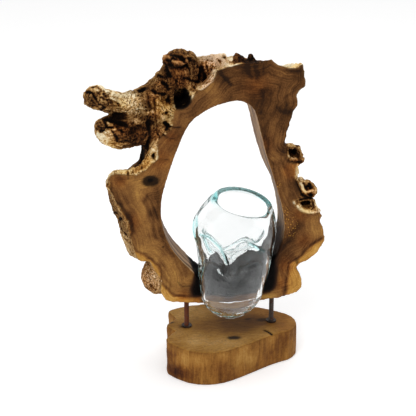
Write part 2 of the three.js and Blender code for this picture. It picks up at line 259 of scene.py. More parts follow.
def put(tree, kind, inputs=None, **settings):
    item = tree.nodes.new(kind)
    for key, value in settings.items():
        setattr(item, key, value)
    for key, value in (inputs or {}).items():
        if isinstance(value, bpy.types.NodeSocket):
            tree.links.new(value, item.inputs[key])
        else:
            item.inputs[key].default_value = value
    return item


def kept(tree, name):
    # A value that the sculpting kept on the mesh
    return put(tree, "ShaderNodeAttribute", attribute_name=name).outputs["Fac"]


def maths(tree, operation, first, second=0.0):
    return put(tree, "ShaderNodeMath", {0: first, 1: second}, operation=operation).outputs[0]


def plus(tree, first, second):
    return maths(tree, "ADD", first, second)


def minus(tree, first, second):
    return maths(tree, "SUBTRACT", first, second)


def times(tree, first, second):
    return maths(tree, "MULTIPLY", first, second)


def swung(tree, tone, *parts):
    # A tone that noises sway up and down round their middles, each by its amount
    for source, amount in parts:
        tone = plus(tree, tone, times(tree, minus(tree, source, 0.5), amount))
    return tone


def between(tree, source, low, high, start=0.0, end=1.0):
    inputs = {"Value": source, "From Min": low, "From Max": high, "To Min": start, "To Max": end}
    return put(tree, "ShaderNodeMapRange", inputs, interpolation_type="SMOOTHSTEP").outputs["Result"]


def blend(tree, share, first, second, mode="MIX"):
    inputs = {0: share, 6: first, 7: second}
    return put(tree, "ShaderNodeMix", inputs, data_type="RGBA", blend_type=mode).outputs[2]


def tinted(tree, colour, name, share, tint):
    # The colour multiplied by a tint, as far as a kept value and a share say
    return blend(tree, times(tree, kept(tree, name), share), colour, paint(*tint), "MULTIPLY")


def ramp(tree, source, stops):
    # Colours along a tone: each stop is a tone and a colour as it looks
    item = put(tree, "ShaderNodeValToRGB", {0: source})
    marks = item.color_ramp.elements
    marks[1].position, marks[1].color = stops[-1][0], paint(*stops[-1][1])
    marks[0].position, marks[0].color = stops[0][0], paint(*stops[0][1])
    for place, colour in stops[1:-1]:
        marks.new(place).color = paint(*colour)
    return item.outputs[0]


def grain(tree, vector, scale, detail=3.0, rough=0.55, warp=0.0):
    inputs = {"Vector": vector, "Scale": scale, "Detail": detail, "Roughness": rough, "Distortion": warp}
    return put(tree, "ShaderNodeTexNoise", inputs).outputs["Fac"]


def speckle(tree, vector, scale):
    return put(tree, "ShaderNodeTexVoronoi", {"Vector": vector, "Scale": scale}).outputs["Distance"]


def objectPlace(tree):
    # The place on the object, and the same as x, y and z
    place = put(tree, "ShaderNodeTexCoord").outputs["Object"]
    return place, put(tree, "ShaderNodeSeparateXYZ", {0: place}).outputs


def joined(tree, *parts):
    # A vector of three sources, each times its own scale
    scaled = [times(tree, source, scale) for source, scale in parts]
    return put(tree, "ShaderNodeCombineXYZ", dict(enumerate(scaled))).outputs[0]


def mixed(tree, share, first, second, kind="FLOAT"):
    # One of two numbers or vectors, or something between them
    low, high = (2, 3) if kind == "FLOAT" else (4, 5)
    inputs = {0: share, low: first, high: second}
    return put(tree, "ShaderNodeMix", inputs, data_type=kind).outputs[0 if kind == "FLOAT" else 1]


def finishWith(tree, shader, bump=None, strength=0.5, depth=0.001):
    if bump is not None:
        normal = put(tree, "ShaderNodeBump", {"Height": bump, "Strength": strength, "Distance": depth})
        tree.links.new(normal.outputs["Normal"], shader.inputs["Normal"])
    out = put(tree, "ShaderNodeOutputMaterial")
    tree.links.new(shader.outputs[0], out.inputs["Surface"])
    return out


def dress(piece, body, finish, slot, *nodes):
    piece.data.materials.append(finish)
    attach(piece, body)
    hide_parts(*nodes)


# The camera stands where the photograph was taken from. A picture place is u to the right and v down,
# in pixels of its square picture
camera = {
    "place": (-0.2689, -1.3793, 0.8199),
    "turn": (66, 0, -10),  # degrees
    "lens": 115.4,
    "sensor": 36,
    "picture": 416,  # pixels across
}


def lookThrough(u, v):
    # The camera's place and the way from it through u, v in the picture
    middle = camera["picture"] / 2
    pixel = camera["sensor"] / camera["lens"] / camera["picture"]
    turned = Euler([math.radians(turn) for turn in camera["turn"]]).to_matrix()
    way = turned @ Vector(((u - middle) * pixel, (middle - v) * pixel, -1))
    return Vector(camera["place"]), way.normalized()


# Root wood ring
rootRing = {
    "voxel": 0.00142,
    "frontFace": -27.0,
    "backFace": 27.0,
    # closes the back of the box-shaped knot: middle and size
    "plugs": [((70, -10, 263), (13, 4, 13))],
    # a point lies on a sawn face where it is so far from the middle and turned so far to the face
    "faceDepth": (25.8, 26.6),
    "faceTurn": (0.6, 0.85),
    # how far the opening drifts in x and z from the front face to the back, and how near it its wall is
    "openingDrift": (4, -5.5),
    "wallReach": (-4.0, -2.0),
    # how far its right wall leans, near the opening, right of, above and below these places
    "wallLean": 3.4,
    "leanReach": 9,
    "leanRight": (10, 30),
    "leanAbove": (222, 245),
    "leanBelow": (312, 330),
    # the charred area, where the glass was laid on: its middle, its half widths at some heights, its top
    "charring": {
        "middle": -1,
        "lean": 0.09,
        "halfWidths": [(80, 42), (100, 44), (130, 43), (150, 46), (175, 48), (200, 47)],
        "side": (-11, 1),
        "top": 172,
        "topFade": (-4, 24),
        "foot": (90, 101),
        "back": 40,
        "backFade": (0, 10),
        # the right wall of the opening is singed up to a height
        "rightWall": 0.6,
        "rightFrom": (38, 46),
        "rightFoot": (120, 140),
        "rightTop": 190,
        "rightFade": (0, 40),
        "rimDepth": 2.4,
        "rimWidth": 3.2,
        "jagDepth": 1.2,
        "jagFoot": (100, 112),
    },
    # the grains of the natural wood in millimetres, one for each axis, and how high each kind of relief is
    "relief": {
        "lumpGrain": 20,
        "foldGrain": (9, 14, 11),
        "uprightGrain": (3.4, 5, 15),
        "lengthGrain": (15, 5, 3.4),
        "fibreGrain": (3.2, 6, 4.4),
        "pitGrain": 3.0,
        "folds": 1.7,
        "grooves": 0.9,
        "fibres": 0.8,
        "pits": 1.1,
        "ridgeMean": 0.72,
        # the branch stubs lie left of and above these places
        "stubLeft": (108, 118),
        "stubAbove": (282, 288),
        "smoothBulge": (-88, -5, 112),
        "bulgeSize": 22,
    },
    # how much painted shade darkens the hollows and painted light brightens the crests
    "cavityShade": 0.17,
    # what counts as the front of the ring, for knots and cracks
    "ahead": (18, 24),
    # picture places where the sawn front face ends and the natural wood up and left of it begins
    "sawnEdge": [
        (109, 179), (112, 175), (118, 174), (128, 174), (138, 175), (146, 171), (152, 164), (159, 159),
        (158, 151), (157, 144), (160, 138), (166, 135), (171, 131), (174, 127), (172, 122), (173, 117),
        (172, 112), (174, 108), (179, 106), (184, 107.5), (188, 105), (190, 100), (194, 95), (200, 91),
        (207, 87.5), (213, 83), (216, 77), (217, 71), (221, 68), (227, 67), (233, 65), (240, 63), (250, 61),
    ],
    # x and z that close the area beyond that edge
    "sawnCorners": [(60, 460), (-260, 460), (-260, 252)],
    # picture places of the rough strip down the left edge, and x and z that close it
    "barkEdge": [
        (108, 178), (110, 188), (112, 198), (118, 206), (123, 214), (128, 222), (130, 229), (128, 236),
        (130, 243), (134, 250), (130, 256), (129, 262),
    ],
    "barkCorners": [(-260, 149), (-260, 253)],
    # across those edges the sawn wood changes to natural wood, as far back as this
    "edgeChange": (-0.4, 1.4),
    "edgeBack": (-22, -14),
    # natural wood at the right edge, x and z
    "curls": [
        (58, 280), (73, 280), (80, 264), (80, 257), (74, 254), (74, 245), (90, 240), (98, 226), (98, 209),
        (104, 192), (90, 191), (80, 194), (73, 200), (67, 209), (76, 213), (74, 222), (70, 231), (68, 238),
        (70, 245), (70, 254), (60, 259), (58, 273),
    ],
    "ragged": 1.3,
    # dark growth lines in the sawn face: picture places, half width, strength
    "darkLines": [
        ([(109, 183), (112, 198), (120, 206), (126, 215), (130, 224), (131, 231), (128, 238), (131, 246),
          (137, 252), (146, 255), (153, 259), (159, 266), (162, 274), (163, 284), (168, 290), (176, 295),
          (186, 296), (198, 296)], 1.6, 0.75),
        ([(323, 238), (315, 243), (307, 250), (298, 258), (290, 263), (289, 272), (287, 284),
          (283, 296)], 2, 0.7),
        ([(298, 226), (292, 236), (286, 246), (276, 252), (274, 262), (268, 275), (265, 290)], 4.5, 0.35),
        ([(147, 196), (145, 203), (149, 212), (152, 222), (154, 232), (156, 240)], 2.4, 0.4),
        ([(151, 205), (155, 212), (158, 222), (160, 232), (164, 242), (172, 254)], 2.4, 0.35),
        ([(121, 205), (127, 214), (131, 222)], 2.5, 0.5),
        ([(133, 224), (131, 232), (128, 240)], 2.2, 0.45),
        ([(118, 172), (119, 180), (123, 184)], 2.2, 0.25),
        ([(158, 262), (164, 268), (166, 278), (172, 286)], 1.6, 0.3),
        ([(219, 69), (224, 77), (232, 84)], 1.8, 0.5),
        ([(248, 64), (248, 72), (252, 79)], 2.6, 0.45),
        ([(255, 66), (257, 74), (256, 80)], 2.6, 0.4),
        ([(262, 66), (262, 74)], 2, 0.3),
        ([(284, 70), (291, 72), (299, 72)], 2.2, 0.4),
        ([(262, 92), (263, 104), (260, 112)], 3, 0.3),
        ([(280, 108), (286, 113), (291, 112)], 3, 0.35),
        ([(291, 95), (285, 99), (287, 106)], 1.6, 0.3),
        ([(266, 136), (268, 150), (273, 164)], 2.2, 0.3),
        ([(283, 128), (283, 140), (284, 152)], 2, 0.3),
        ([(280, 150), (283, 164), (289, 176)], 1.8, 0.25),
        ([(285, 157), (292, 162), (300, 163)], 1.8, 0.35),
        ([(275, 160), (281, 176), (285, 192)], 1.4, 0.2),
        ([(170, 127), (180, 128)], 1.2, 0.25),
        ([(160, 161), (168, 160)], 1.2, 0.25),
        ([(158, 190), (157, 205), (160, 212)], 1.6, 0.25),
    ],
    # x and z that close the pale sapwood outside the first two of them
    "sapCornersLeft": [(-33, 60), (-200, 60), (-200, 251)],
    "sapCornersRight": [(62, 60), (180, 60), (180, 159)],
    "sapTone": 0.79,  # sapwood is at least so light, and the other sawn wood at most as light as heartTone
    "heartTone": 0.72,
    # fine cracks in the front: x and z points, half width
    "cracks": [
        ([(-80, 300), (-75, 296), (-67, 294)], 0.4),
        ([(-73, 309), (-67, 308), (-60, 307)], 0.4),
        ([(-120, 258), (-120, 250)], 0.3),
        ([(-84, 272), (-76, 271)], 0.2),
        ([(-66, 118), (-60, 112), (-52, 111)], 0.2),
        ([(-20, 368), (-15, 363), (-7, 355)], 0.2),
    ],
    "crackDepth": 0.8,
    "crackDark": 0.7,
    # knots and holes in the front: x, z, half width, half height, depth, how dark; the dark is the knots' own
    # colour and painted shade in the holes
    "knots": [
        (-95, 246, 10.2, 7.4, 0.8, 0.93), (-95, 246, 4.5, 3.6, 1.6, 1), (-91, 275, 2.2, 3.8, 6, 1),
        (-82, 164, 1.2, 1.4, 1.5, 0.8), (75, 132, 2.2, 4, 2, 0.6), (79, 121, 1.6, 3, 1.5, 0.6),
    ],
    # how light the sawn face is round a place, 0 dark brown to 1 pale gold: picture place, tone; and far
    # from them all
    "sawnToneSize": 7.0,
    "sawnToneFar": 0.35,
    "sawnTones": {
        "crown": [
            (178, 115, 0.42), (190, 110, 0.34), (200, 100, 0.34), (205, 92, 0.45), (209, 89, 0.62),
            (216, 88, 0.4), (212, 97, 0.4), (224, 80, 0.06), (229, 90, 0.26), (235, 72, 0.22),
            (241, 85, 0.24), (249, 70, 0.12), (251, 79, 0.24), (256, 86, 0.4), (247, 97, 0.27),
            (257, 100, 0.14), (264, 93, 0.2), (263, 72, 0.24), (269, 66, 0.34), (271, 80, 0.32),
            (284, 78, 0.32), (294, 74, 0.14), (302, 82, 0.22), (291, 85, 0.26), (284, 95, 0.42),
            (293, 101, 0.34),
        ],
        "rightArm": [
            (291, 172, 0.5), (288, 167, 0.44), (294, 186, 0.2), (286, 111, 0.16), (275, 106, 0.22),
            (269, 116, 0.22), (262, 126, 0.2), (281, 121, 0.24), (275, 121, 0.32), (268, 141, 0.24),
            (277, 141, 0.42), (284, 150, 0.22), (263, 150, 0.24), (272, 161, 0.42), (277, 156, 0.52),
            (284, 165, 0.34), (270, 175, 0.32), (291, 170, 0.46), (289, 177, 0.36), (294, 184, 0.14),
            (276, 186, 0.36), (286, 190, 0.32), (293, 195, 0.22), (285, 201, 0.36), (281, 209, 0.44),
            (291, 208, 0.34),
        ],
        "lowerRight": [
            (289, 221, 0.4), (281, 224, 0.26), (301, 217, 0.38), (299, 229, 0.26), (293, 233, 0.29),
            (301, 239, 0.28), (311, 228, 0.62), (319, 231, 0.6), (316, 222, 0.5), (307, 241, 0.36),
            (290, 246, 0.2), (283, 241, 0.2), (285, 256, 0.22), (298, 249, 0.44), (284, 270, 0.52),
            (278, 280, 0.48), (291, 260, 0.4), (275, 264, 0.06), (281, 290, 0.52), (272, 294, 0.72),
            (268, 284, 0.26),
        ],
        "upperLeft": [
            (172, 148, 0.4), (161, 168, 0.44), (166, 160, 0.46), (176, 132, 0.34), (179, 122, 0.4),
        ],
        "leftArm": [
            (116, 181, 0.34), (112, 190, 0.42), (118, 200, 0.3), (126, 190, 0.42), (133, 181, 0.5),
            (136, 192, 0.64), (143, 203, 0.68), (134, 207, 0.62), (124, 203, 0.32), (151, 198, 0.26),
            (157, 196, 0.34), (158, 208, 0.32), (154, 214, 0.3), (129, 214, 0.3), (141, 217, 0.62),
            (147, 225, 0.5), (152, 234, 0.44), (136, 227, 0.52), (131, 226, 0.24), (146, 190, 0.5),
        ],
        "lowerLeft": [
            (134, 241, 0.5), (141, 243, 0.46), (151, 246, 0.66), (160, 238, 0.38), (165, 250, 0.36),
            (157, 252, 0.62), (163, 262, 0.5), (170, 264, 0.54), (176, 271, 0.6), (181, 281, 0.6),
            (167, 280, 0.54), (175, 290, 0.5), (184, 268, 0.3), (186, 290, 0.34), (178, 262, 0.36),
            (185, 299.5, 0.72), (172, 299, 0.74), (198, 299, 0.5), (141, 258, 0.86), (152, 265, 0.78),
            (133, 255, 0.72), (160, 282, 0.6), (164, 294, 0.66),
        ],
    },
    # where the sawn wood is reddish, and where it has yellow flecks: x, z, size
    "warmWood": [
        (66, 245, 8), (23, 350, 16), (64, 248, 9), (-84, 271, 14), (-118, 198, 10), (-59, 98, 8),
        (-42, 94, 6), (60, 129, 12), (31, 281, 10), (77, 192, 10), (82, 158, 9), (55, 105, 9),
        (-71, 296, 9), (-129, 248, 8),
    ],
    "fleckedWood": [
        (58, 189, 8), (64, 181, 8), (65, 172, 7), (55, 199, 6), (49, 231, 4),
    ],
    # the mouth of the deep hollow beside the sawn face, x and z
    "deepHollow": [
        (-65, 348), (-58, 350), (-52, 347), (-50, 343), (-50, 336), (-54, 331), (-60, 329), (-65, 329),
        (-66, 339),
    ],
    "deepHollowDepth": 5.0,
    "deepHollowSlope": (-1.0, 3.5),
    # where painted shade fills the deep hollow
    "deepHollowShade": (-2.2, -0.3),
    "deepHollowFront": (-8, -2),
    # hollows of the natural wood: x, y, z, half sizes, depth, how dark; the dark is painted shade in the
    # hollow
    "hollows": [
        (-62, -26, 377, 10, 8, 4.2, 3.5, 0.8), (-101, -12, 349, 3.5, 6, 3, 4, 1),
        (-77, -14, 371, 3.5, 6, 4, 4, 0.9), (-75, -25, 310, 2.2, 5, 2.6, 3, 1),
        (-138, -35, 316, 2.6, 4, 1.5, 2.5, 1), (-132, -24, 322, 13, 10, 3, 3, 0.8),
        (-73, -23, 338, 2.4, 4, 2, 2, 0.8), (-7, -1, 377, 1.8, 4, 1.8, 3, 1),
        (8, -10, 380, 5, 6, 2.5, 1.5, 0.5), (86, -20, 224, 3, 5, 3, 3.5, 0.9),
        (85, -16, 203, 6.5, 7, 4.5, 2.5, 0.8), (68, -20, 266, 5, 8, 4.5, 0.8, 0.55),
        (-97, -24, 333, 4, 7, 9, 1.6, 0.15), (-112, -31, 309, 7, 8, 7, 1.5, 0.4),
        (-103, -12, 272, 5, 10, 14, 1.2, 0.5), (-139, 27, 206, 2, 4, 2, 1, 0.5),
    ],
    # its lumps, and dips where it is negative: x, y, z, half sizes, height
    "lumps": [
        (-76, -3, 380, 5, 8, 4, 3), (-47, -3, 389, 8, 12, 6, -3.5), (-56, 2, 391, 7, 10, 5, -1.5),
        (-46, -18, 384, 5, 5, 5, 1.2), (-82, -3, 362, 5, 6, 4, 2.4), (-80, 0, 371, 5, 12, 4.5, -5),
        (-49, -15, 384, 7, 14, 10, -3), (-60, -28, 370, 12, 6, 2.2, 1.4), (-118, -18, 342, 14, 8, 6, 1.6),
        (-149, -26, 358, 5, 5, 3, 1.6), (-150, -28, 316, 5, 4, 5, 1), (-78, -25, 330, 8, 6, 12, 1.6),
        (74, -22, 248, 3, 6, 6, 1.2), (84, -15, 216, 8, 5, 2.2, 1.6), (82, -13, 233, 8, 6, 3, 1.4),
        (96, -18, 218, 4, 8, 8, 1.2), (-90, -24, 282, 5, 5, 8, 1),
    ],
    # how far the natural wood falls back behind the sawn edge, and how high its lip along that edge is
    "fallBack": 4.0,
    "fallAcross": (1.5, 18),
    "fallTurn": (0.4, 0.9),
    "fallFront": (14, 26),
    "lipHeight": 0.9,
    "lipPlace": 1.4,
    "lipWidth": 1.8,
    "lipAbove": (240, 250),
    # its folds, ridges and cracks: picture places, half width, height, change of tone, which paints shade
    # into the cracks and grooves and light onto the ridges along with their own colour
    "strokes": {
        "upperStub": [
            ([(86, 93), (92, 92), (95, 95), (96, 99)], 1, -2.2, -0.9),
            ([(89, 93), (89, 99)], 0.6, -1.2, -0.6),
            ([(94, 88), (97, 87.5)], 1.6, -1.2, -0.8),
            ([(100, 89), (104, 93), (106, 97)], 0.7, -0.8, -0.6),
            ([(91, 101), (93, 105), (97, 108)], 0.6, -0.7, -0.4),
            ([(103, 97), (108, 99), (112, 103), (117, 107)], 1, -0.9, -0.4),
            ([(106, 93), (110, 98), (116, 101), (122, 106)], 0.8, -0.8, -0.45),
            ([(101, 111), (105, 110)], 1.2, -1, -0.7),
            ([(96, 101), (100, 106), (104, 108)], 0.9, -0.6, -0.35),
            ([(113, 97), (118, 100), (124, 104)], 1.4, 1, 0.25),
            ([(98, 87), (103, 88), (107, 91)], 1.2, 0.9, 0.3),
            ([(126, 91), (132, 90), (137, 89)], 1.6, 0.8, 0.2),
            ([(117, 92), (120, 93)], 0.8, -0.9, -0.7),
            ([(101, 116), (110, 119), (118, 121), (126, 124)], 2.6, -2.4, -1),
            ([(118, 112), (126, 114), (134, 117)], 1.2, 0.5, 0.12),
        ],
        "lowerStub": [
            ([(104, 120), (106, 124), (104, 129), (100, 132)], 1, -1.8, -0.85),
            ([(94, 121), (99, 119), (104, 121)], 1.2, 0.9, 0.15),
            ([(99, 126), (101, 128)], 1.1, -1.2, -0.6),
            ([(97, 123), (101, 123), (103, 127), (100, 130), (96, 129)], 0.6, -0.5, -0.3),
            ([(109, 127), (113, 127)], 1.3, -2, -1),
            ([(107, 123), (112, 124), (116, 129)], 1.2, 0.9, 0.25),
            ([(115, 124), (119, 128), (123, 132)], 1, -1, -0.4),
            ([(112, 131), (116, 136), (117, 142)], 1, -0.8, -0.4),
            ([(98, 134), (104, 141), (110, 146)], 2, 0.6, 0.15),
            ([(106, 122), (108, 126)], 0.9, -1, -0.5),
            ([(118, 147), (126, 148), (133, 147)], 1, 0.4, 0.15),
        ],
        "valley": [
            ([(140, 90), (143, 88)], 2, -2, -1),
            ([(147, 96), (149, 103), (150, 110), (149, 118)], 1.2, -1.6, -0.2),
            ([(152, 90), (158, 93), (165, 93)], 1, -1.2, -0.5),
            ([(154, 98), (155, 108), (155, 118), (157, 128), (158, 134)], 0.7, -0.7, -0.15),
            ([(150, 95), (156, 95)], 1.2, 0.6, 0.15),
            ([(148, 114), (152, 113)], 1.4, 1, 0.35),
            ([(132, 122), (140, 125), (148, 130)], 1.8, -1, -0.2),
            ([(140, 148), (141, 157), (139, 164)], 2.2, -1.2, -0.4),
            ([(148, 122), (151, 130), (150, 140), (147, 147)], 1.2, -1.2, -0.5),
        ],
        "trunk": [
            ([(158, 135), (160, 138)], 0.7, -1, -0.7),
            ([(163, 135), (168, 138), (175, 139)], 0.5, -0.9, -0.6),
            ([(170, 127), (175, 127), (181, 128)], 0.5, -0.9, -0.5),
            ([(165, 113), (167, 113)], 1, -1.2, -0.8),
            ([(168, 100), (170, 101)], 1.6, -1.4, -0.8),
            ([(166, 124), (168, 126), (167, 129)], 1.4, -2, -1),
            ([(157, 100), (158, 108), (157, 116)], 1.4, 0.9, 0.2),
            ([(160, 104), (164, 110), (163, 118)], 1.6, 0.8, 0.15),
            ([(174, 107), (172, 112), (173, 118), (172, 124)], 1.6, 1.2, 0.12),
            ([(150, 154), (153, 150), (157, 151), (158, 157), (155, 161)], 1.2, 1.4, 0.12),
            ([(160, 160), (167, 160)], 0.4, -0.7, -0.5),
            ([(146, 150), (150, 146), (155, 141)], 1.2, 0.8, 0.2),
            ([(161, 143), (165, 147), (170, 146)], 0.6, -0.5, -0.35),
            ([(173, 144), (174, 149)], 1.4, -0.6, -0.5),
            ([(128, 171), (128, 178)], 0.5, -1.2, -0.8),
            ([(144, 163), (138, 168), (130, 171), (118, 171)], 1.4, 0.8, 0.15),
        ],
        "burl": [
            ([(166, 54), (172, 55), (178, 56.5), (184, 57.5)], 1.3, -3.2, -0.8),
            ([(167, 59.5), (170, 60)], 0.8, -1.5, -0.6),
            ([(172, 58.5), (176, 59.5)], 0.8, -2, -0.8),
            ([(180, 58.5), (183, 59)], 0.9, -2, -0.7),
            ([(163, 57.5), (167, 56.5), (172, 57), (177, 58)], 1, 1.4, 0.15),
            ([(169, 61), (175, 61), (180, 62), (185, 62.5)], 1, 1.4, 0.2),
            ([(168, 63), (172, 67), (178, 69), (184, 68.5), (188, 66)], 2.6, -3.2, -0.4),
            ([(191, 56.5), (191, 60)], 1.6, -1.6, -0.5),
            ([(184, 60), (188, 65), (192, 70)], 0.7, -1.2, -0.5),
            ([(188, 54.5), (192, 53.5), (195, 57), (196, 63)], 1.2, 1.2, 0.12),
            ([(165, 66), (166, 71), (168, 75)], 1.8, -3, -0.6),
            ([(159, 73), (161, 74)], 1.2, 1, 0.1),
            ([(158, 76), (161, 76.5), (165, 76.5)], 0.9, -1, -0.4),
            ([(186, 79), (192, 80), (198, 82)], 0.8, -1.2, -0.5),
            ([(193, 60), (198, 66), (200, 73)], 0.8, -1.2, -0.4),
            ([(162, 82), (166, 85), (167, 89)], 1, -1.4, -0.5),
            ([(172, 52), (178, 53), (182, 55)], 0.6, -1, -0.4),
            ([(176, 80), (175, 88)], 0.6, -0.8, -0.25),
            ([(163, 60.5), (165, 65)], 0.6, -0.8, -0.4),
        ],
        "crown": [
            ([(217, 60), (220, 62), (224, 66)], 0.5, -1, -0.8),
            ([(217, 70), (222, 77), (229, 83)], 0.5, -0.5, -0.3),
            ([(224, 57), (226, 57)], 1.6, -2.5, -1),
            ([(202, 62), (202, 70)], 0.8, -1.2, -0.5),
            ([(206, 60), (206, 68)], 0.6, -0.9, -0.4),
            ([(200, 68), (200, 78)], 1.4, -1.6, -0.6),
            ([(204, 70), (204, 80)], 1.2, -1.6, -0.6),
            ([(208, 66), (208, 75)], 0.7, -1, -0.45),
            ([(212, 64), (211, 71)], 0.6, -0.8, -0.4),
            ([(216, 71), (216, 77), (212, 83), (205, 86), (198, 89)], 1.6, 1.4, 0.06),
            ([(190, 92), (188, 98), (188, 104)], 1.3, 1.4, 0.12),
            ([(188, 105), (184, 107.5), (178, 106), (174, 108)], 1.3, 1.4, 0.12),
            ([(194, 87), (197, 91)], 0.7, -0.8, -0.4),
            ([(192, 90), (196, 93)], 0.7, -0.8, -0.4),
        ],
        "right": [
            ([(287, 145.5), (293, 145.5), (298, 147)], 1.1, 1, 0.2),
            ([(288, 156.5), (291, 158.5), (297, 159)], 0.9, 1.2, 0.35),
            ([(299, 148), (301, 154), (302, 159)], 1, 0.8, 0.15),
            ([(286.5, 147), (287, 156)], 1, -1, -0.35),
            ([(288, 161), (294, 163), (300, 162)], 1.2, -1, -0.5),
            ([(297, 164), (296, 169), (297, 173)], 1, 1.2, 0.35),
            ([(297, 172), (299, 175), (303, 177), (307, 178)], 0.9, 1.2, 0.2),
            ([(291, 178), (295, 182), (298, 187), (301, 192)], 1.3, -1.6, -0.7),
            ([(301, 184), (302.5, 189), (306, 192.5), (309.5, 192.5), (312, 190.5)], 1.2, 2, 0.4),
            ([(304, 184), (305, 188), (308, 190)], 0.8, -1.6, -0.6),
            ([(310, 184), (312, 187), (311, 189)], 1.2, -2, -0.8),
            ([(303, 179.5), (306, 179), (309, 179)], 0.8, -0.8, -0.3),
            ([(311, 183), (314, 187), (315, 193), (313, 196)], 1.2, 1.4, 0.2),
            ([(302, 194.5), (307, 196.5), (312, 195.5)], 1.2, -1.4, -0.6),
            ([(301, 199.5), (306, 199), (313, 198.5)], 1, -1.6, -0.7),
            ([(294, 202), (298, 207), (304, 211), (311, 212.5), (318, 212)], 1.4, 1.8, 0.3),
            ([(314, 201), (316, 206), (318, 210)], 1.3, 1.4, 0.25),
            ([(313, 202), (313.5, 208)], 0.8, -1, -0.4),
            ([(300, 214.5), (308, 216), (318, 215)], 0.8, -1, -0.4),
            ([(296, 262), (297, 270)], 1.6, -1.4, -0.6),
            ([(299, 265), (300, 272)], 0.8, -1, -0.5),
        ],
        "leftEdge": [
            ([(107, 184), (110, 190)], 0.7, -0.8, -0.4),
            ([(121, 228), (124, 233), (127, 237)], 1.3, -1.8, -0.9),
            ([(110, 207), (113, 205)], 1, -1.2, -0.7),
            ([(113, 212), (118, 214)], 0.9, -1.2, -0.6),
            ([(119, 220), (122, 218)], 0.9, -1.2, -0.6),
            ([(124, 238), (127, 240)], 0.8, -1, -0.6),
            ([(150, 285), (155, 290), (162, 294)], 0.8, -0.8, -0.4),
        ],
    },
    # how light it is round a place, 0 black to 1 cream: picture place, tone; and far from them all. Beside
    # the wood's own colour, the tones paint shade on the neck's shaded side, between the stubs, in the
    # box-shaped knot and in the pocket
    "wildToneSize": 6.5,
    "wildToneFar": 0.5,
    "wildTones": {
        "upperStub": [
            (88, 97, 0.4), (96, 99, 0.42), (92, 105, 0.46), (101, 95, 0.38), (102, 104, 0.46),
            (99, 87.5, 0.95), (105, 91, 0.92), (108, 97, 0.62), (113, 101, 0.67), (106, 108, 0.42),
            (115, 94, 0.92), (122, 93, 0.87), (121, 98, 1.02), (118, 103, 0.87), (125, 104, 0.92),
            (113, 108, 0.5), (131, 90, 0.92), (138, 89, 0.77), (130, 98, 0.97), (137, 100, 0.82),
            (143, 99, 0.72), (128, 107, 0.75), (137, 107, 0.79), (142, 110, 0.69), (136, 115, 0.73),
            (126, 113, 0.67), (117, 112, 0.65), (108, 113, 0.5), (106, 116, 0.25), (119, 119, 0.3),
            (131, 120, 0.42), (139, 119, 0.48), (140, 114, 0.62),
        ],
        "lowerStub": [
            (99, 126, 0.45), (94, 124, 0.41), (102, 136, 0.95), (107, 141, 0.9), (113, 147, 0.77),
            (108, 133, 0.85), (110, 129, 0.65), (108, 123, 0.55), (116, 125, 0.37), (120, 131, 0.39),
            (117, 139, 0.39), (124, 127, 0.3), (122, 144, 0.35), (130, 143, 0.21), (135, 131, 0.15),
            (128, 136, 0.23), (124, 149, 0.4), (140, 130, 0.23), (140, 143, 0.15), (146, 137, 0.25),
            (146, 125, 0.25), (151, 132, 0.31),
        ],
        # painted shade on the shaded side of the neck
        "neck": [
            (140, 150, 0.06), (142, 160, 0.08), (139, 167, 0.3), (147, 151, 0.18),
        ],
        "valley": [
            (140, 111, 1.02), (142, 116, 1), (138, 119, 0.88), (145, 109, 0.8), (135, 113, 0.86),
            (146, 113, 0.38), (150, 108, 0.24), (151, 114, 0.36), (150, 97, 0.3), (153, 103, 0.3),
            (144, 119, 0.38), (150, 123, 0.26), (155, 119, 0.34), (154, 129, 0.28), (146, 103, 0.5),
        ],
        "ridge": [
            (141, 90, 0.14), (146, 88, 0.26), (150, 83, 0.46), (154, 79, 0.64), (160, 78, 0.66),
            (157, 73, 0.34), (162, 75, 0.16), (163, 68, 0.14), (150, 89, 0.32), (158, 84, 0.52),
            (165, 82, 0.46), (168, 86, 0.3), (160, 90, 0.38),
        ],
        "trunk": [
            (158, 97, 0.56), (164, 97, 0.6), (169, 101, 0.36), (169, 93, 0.44), (160, 104, 0.7),
            (165, 108, 0.72), (159, 112, 0.7), (168, 113, 0.78), (171, 117, 0.88), (167, 121, 0.78),
            (162, 119, 0.68), (158, 124, 0.63), (155, 111, 0.48), (167, 126, 0.36), (171, 125, 0.58),
            (161, 130, 0.6), (158, 138, 0.54), (164, 141, 0.6), (171, 134, 0.5), (166, 148, 0.54),
            (156, 144, 0.58), (158, 151, 0.66), (151, 155, 0.68), (148, 161, 0.74), (146, 166, 0.74),
            (157, 161, 0.6), (139, 170, 0.78), (129, 171, 0.8), (118, 172, 0.84), (112, 174, 0.76),
        ],
        "burl": [
            (163, 58.5, 0.79), (163, 61, 0.71), (165, 56.5, 0.63), (168, 55.5, 0.57), (171, 51.5, 0.51),
            (174, 50, 0.43), (180, 50.5, 0.35), (184, 52, 0.25), (176, 53, 0.35), (188, 53.5, 0.5),
            (192, 53.5, 0.47), (195, 57, 0.37), (191, 58, 0.17), (191, 61, 0.19), (187, 57, 0.4),
            (185, 60, 0.35), (174, 57, 0.17), (180, 57, 0.15), (168, 60, 0.27), (176, 61, 0.55),
            (181, 62, 0.5), (172, 61, 0.45), (170, 65, 0.17), (176, 68, 0.12), (183, 67, 0.15),
            (187, 66, 0.23), (175, 73, 0.35), (183, 73, 0.39), (188, 70, 0.39), (193, 66, 0.33),
            (197, 66, 0.27), (199, 73, 0.23), (195, 74, 0.45), (188, 76, 0.45), (180, 78, 0.33),
            (174, 79, 0.31), (180, 84, 0.31), (172, 85, 0.33), (187, 83, 0.35), (178, 87, 0.21),
            (193, 81, 0.39), (165, 67, 0.13), (166, 72, 0.13), (168, 74, 0.19), (160, 74, 0.43),
        ],
        "crown": [
            (201, 60, 0.68), (203, 66, 0.55), (200, 73, 0.37), (203, 79, 0.33), (208, 70, 0.53),
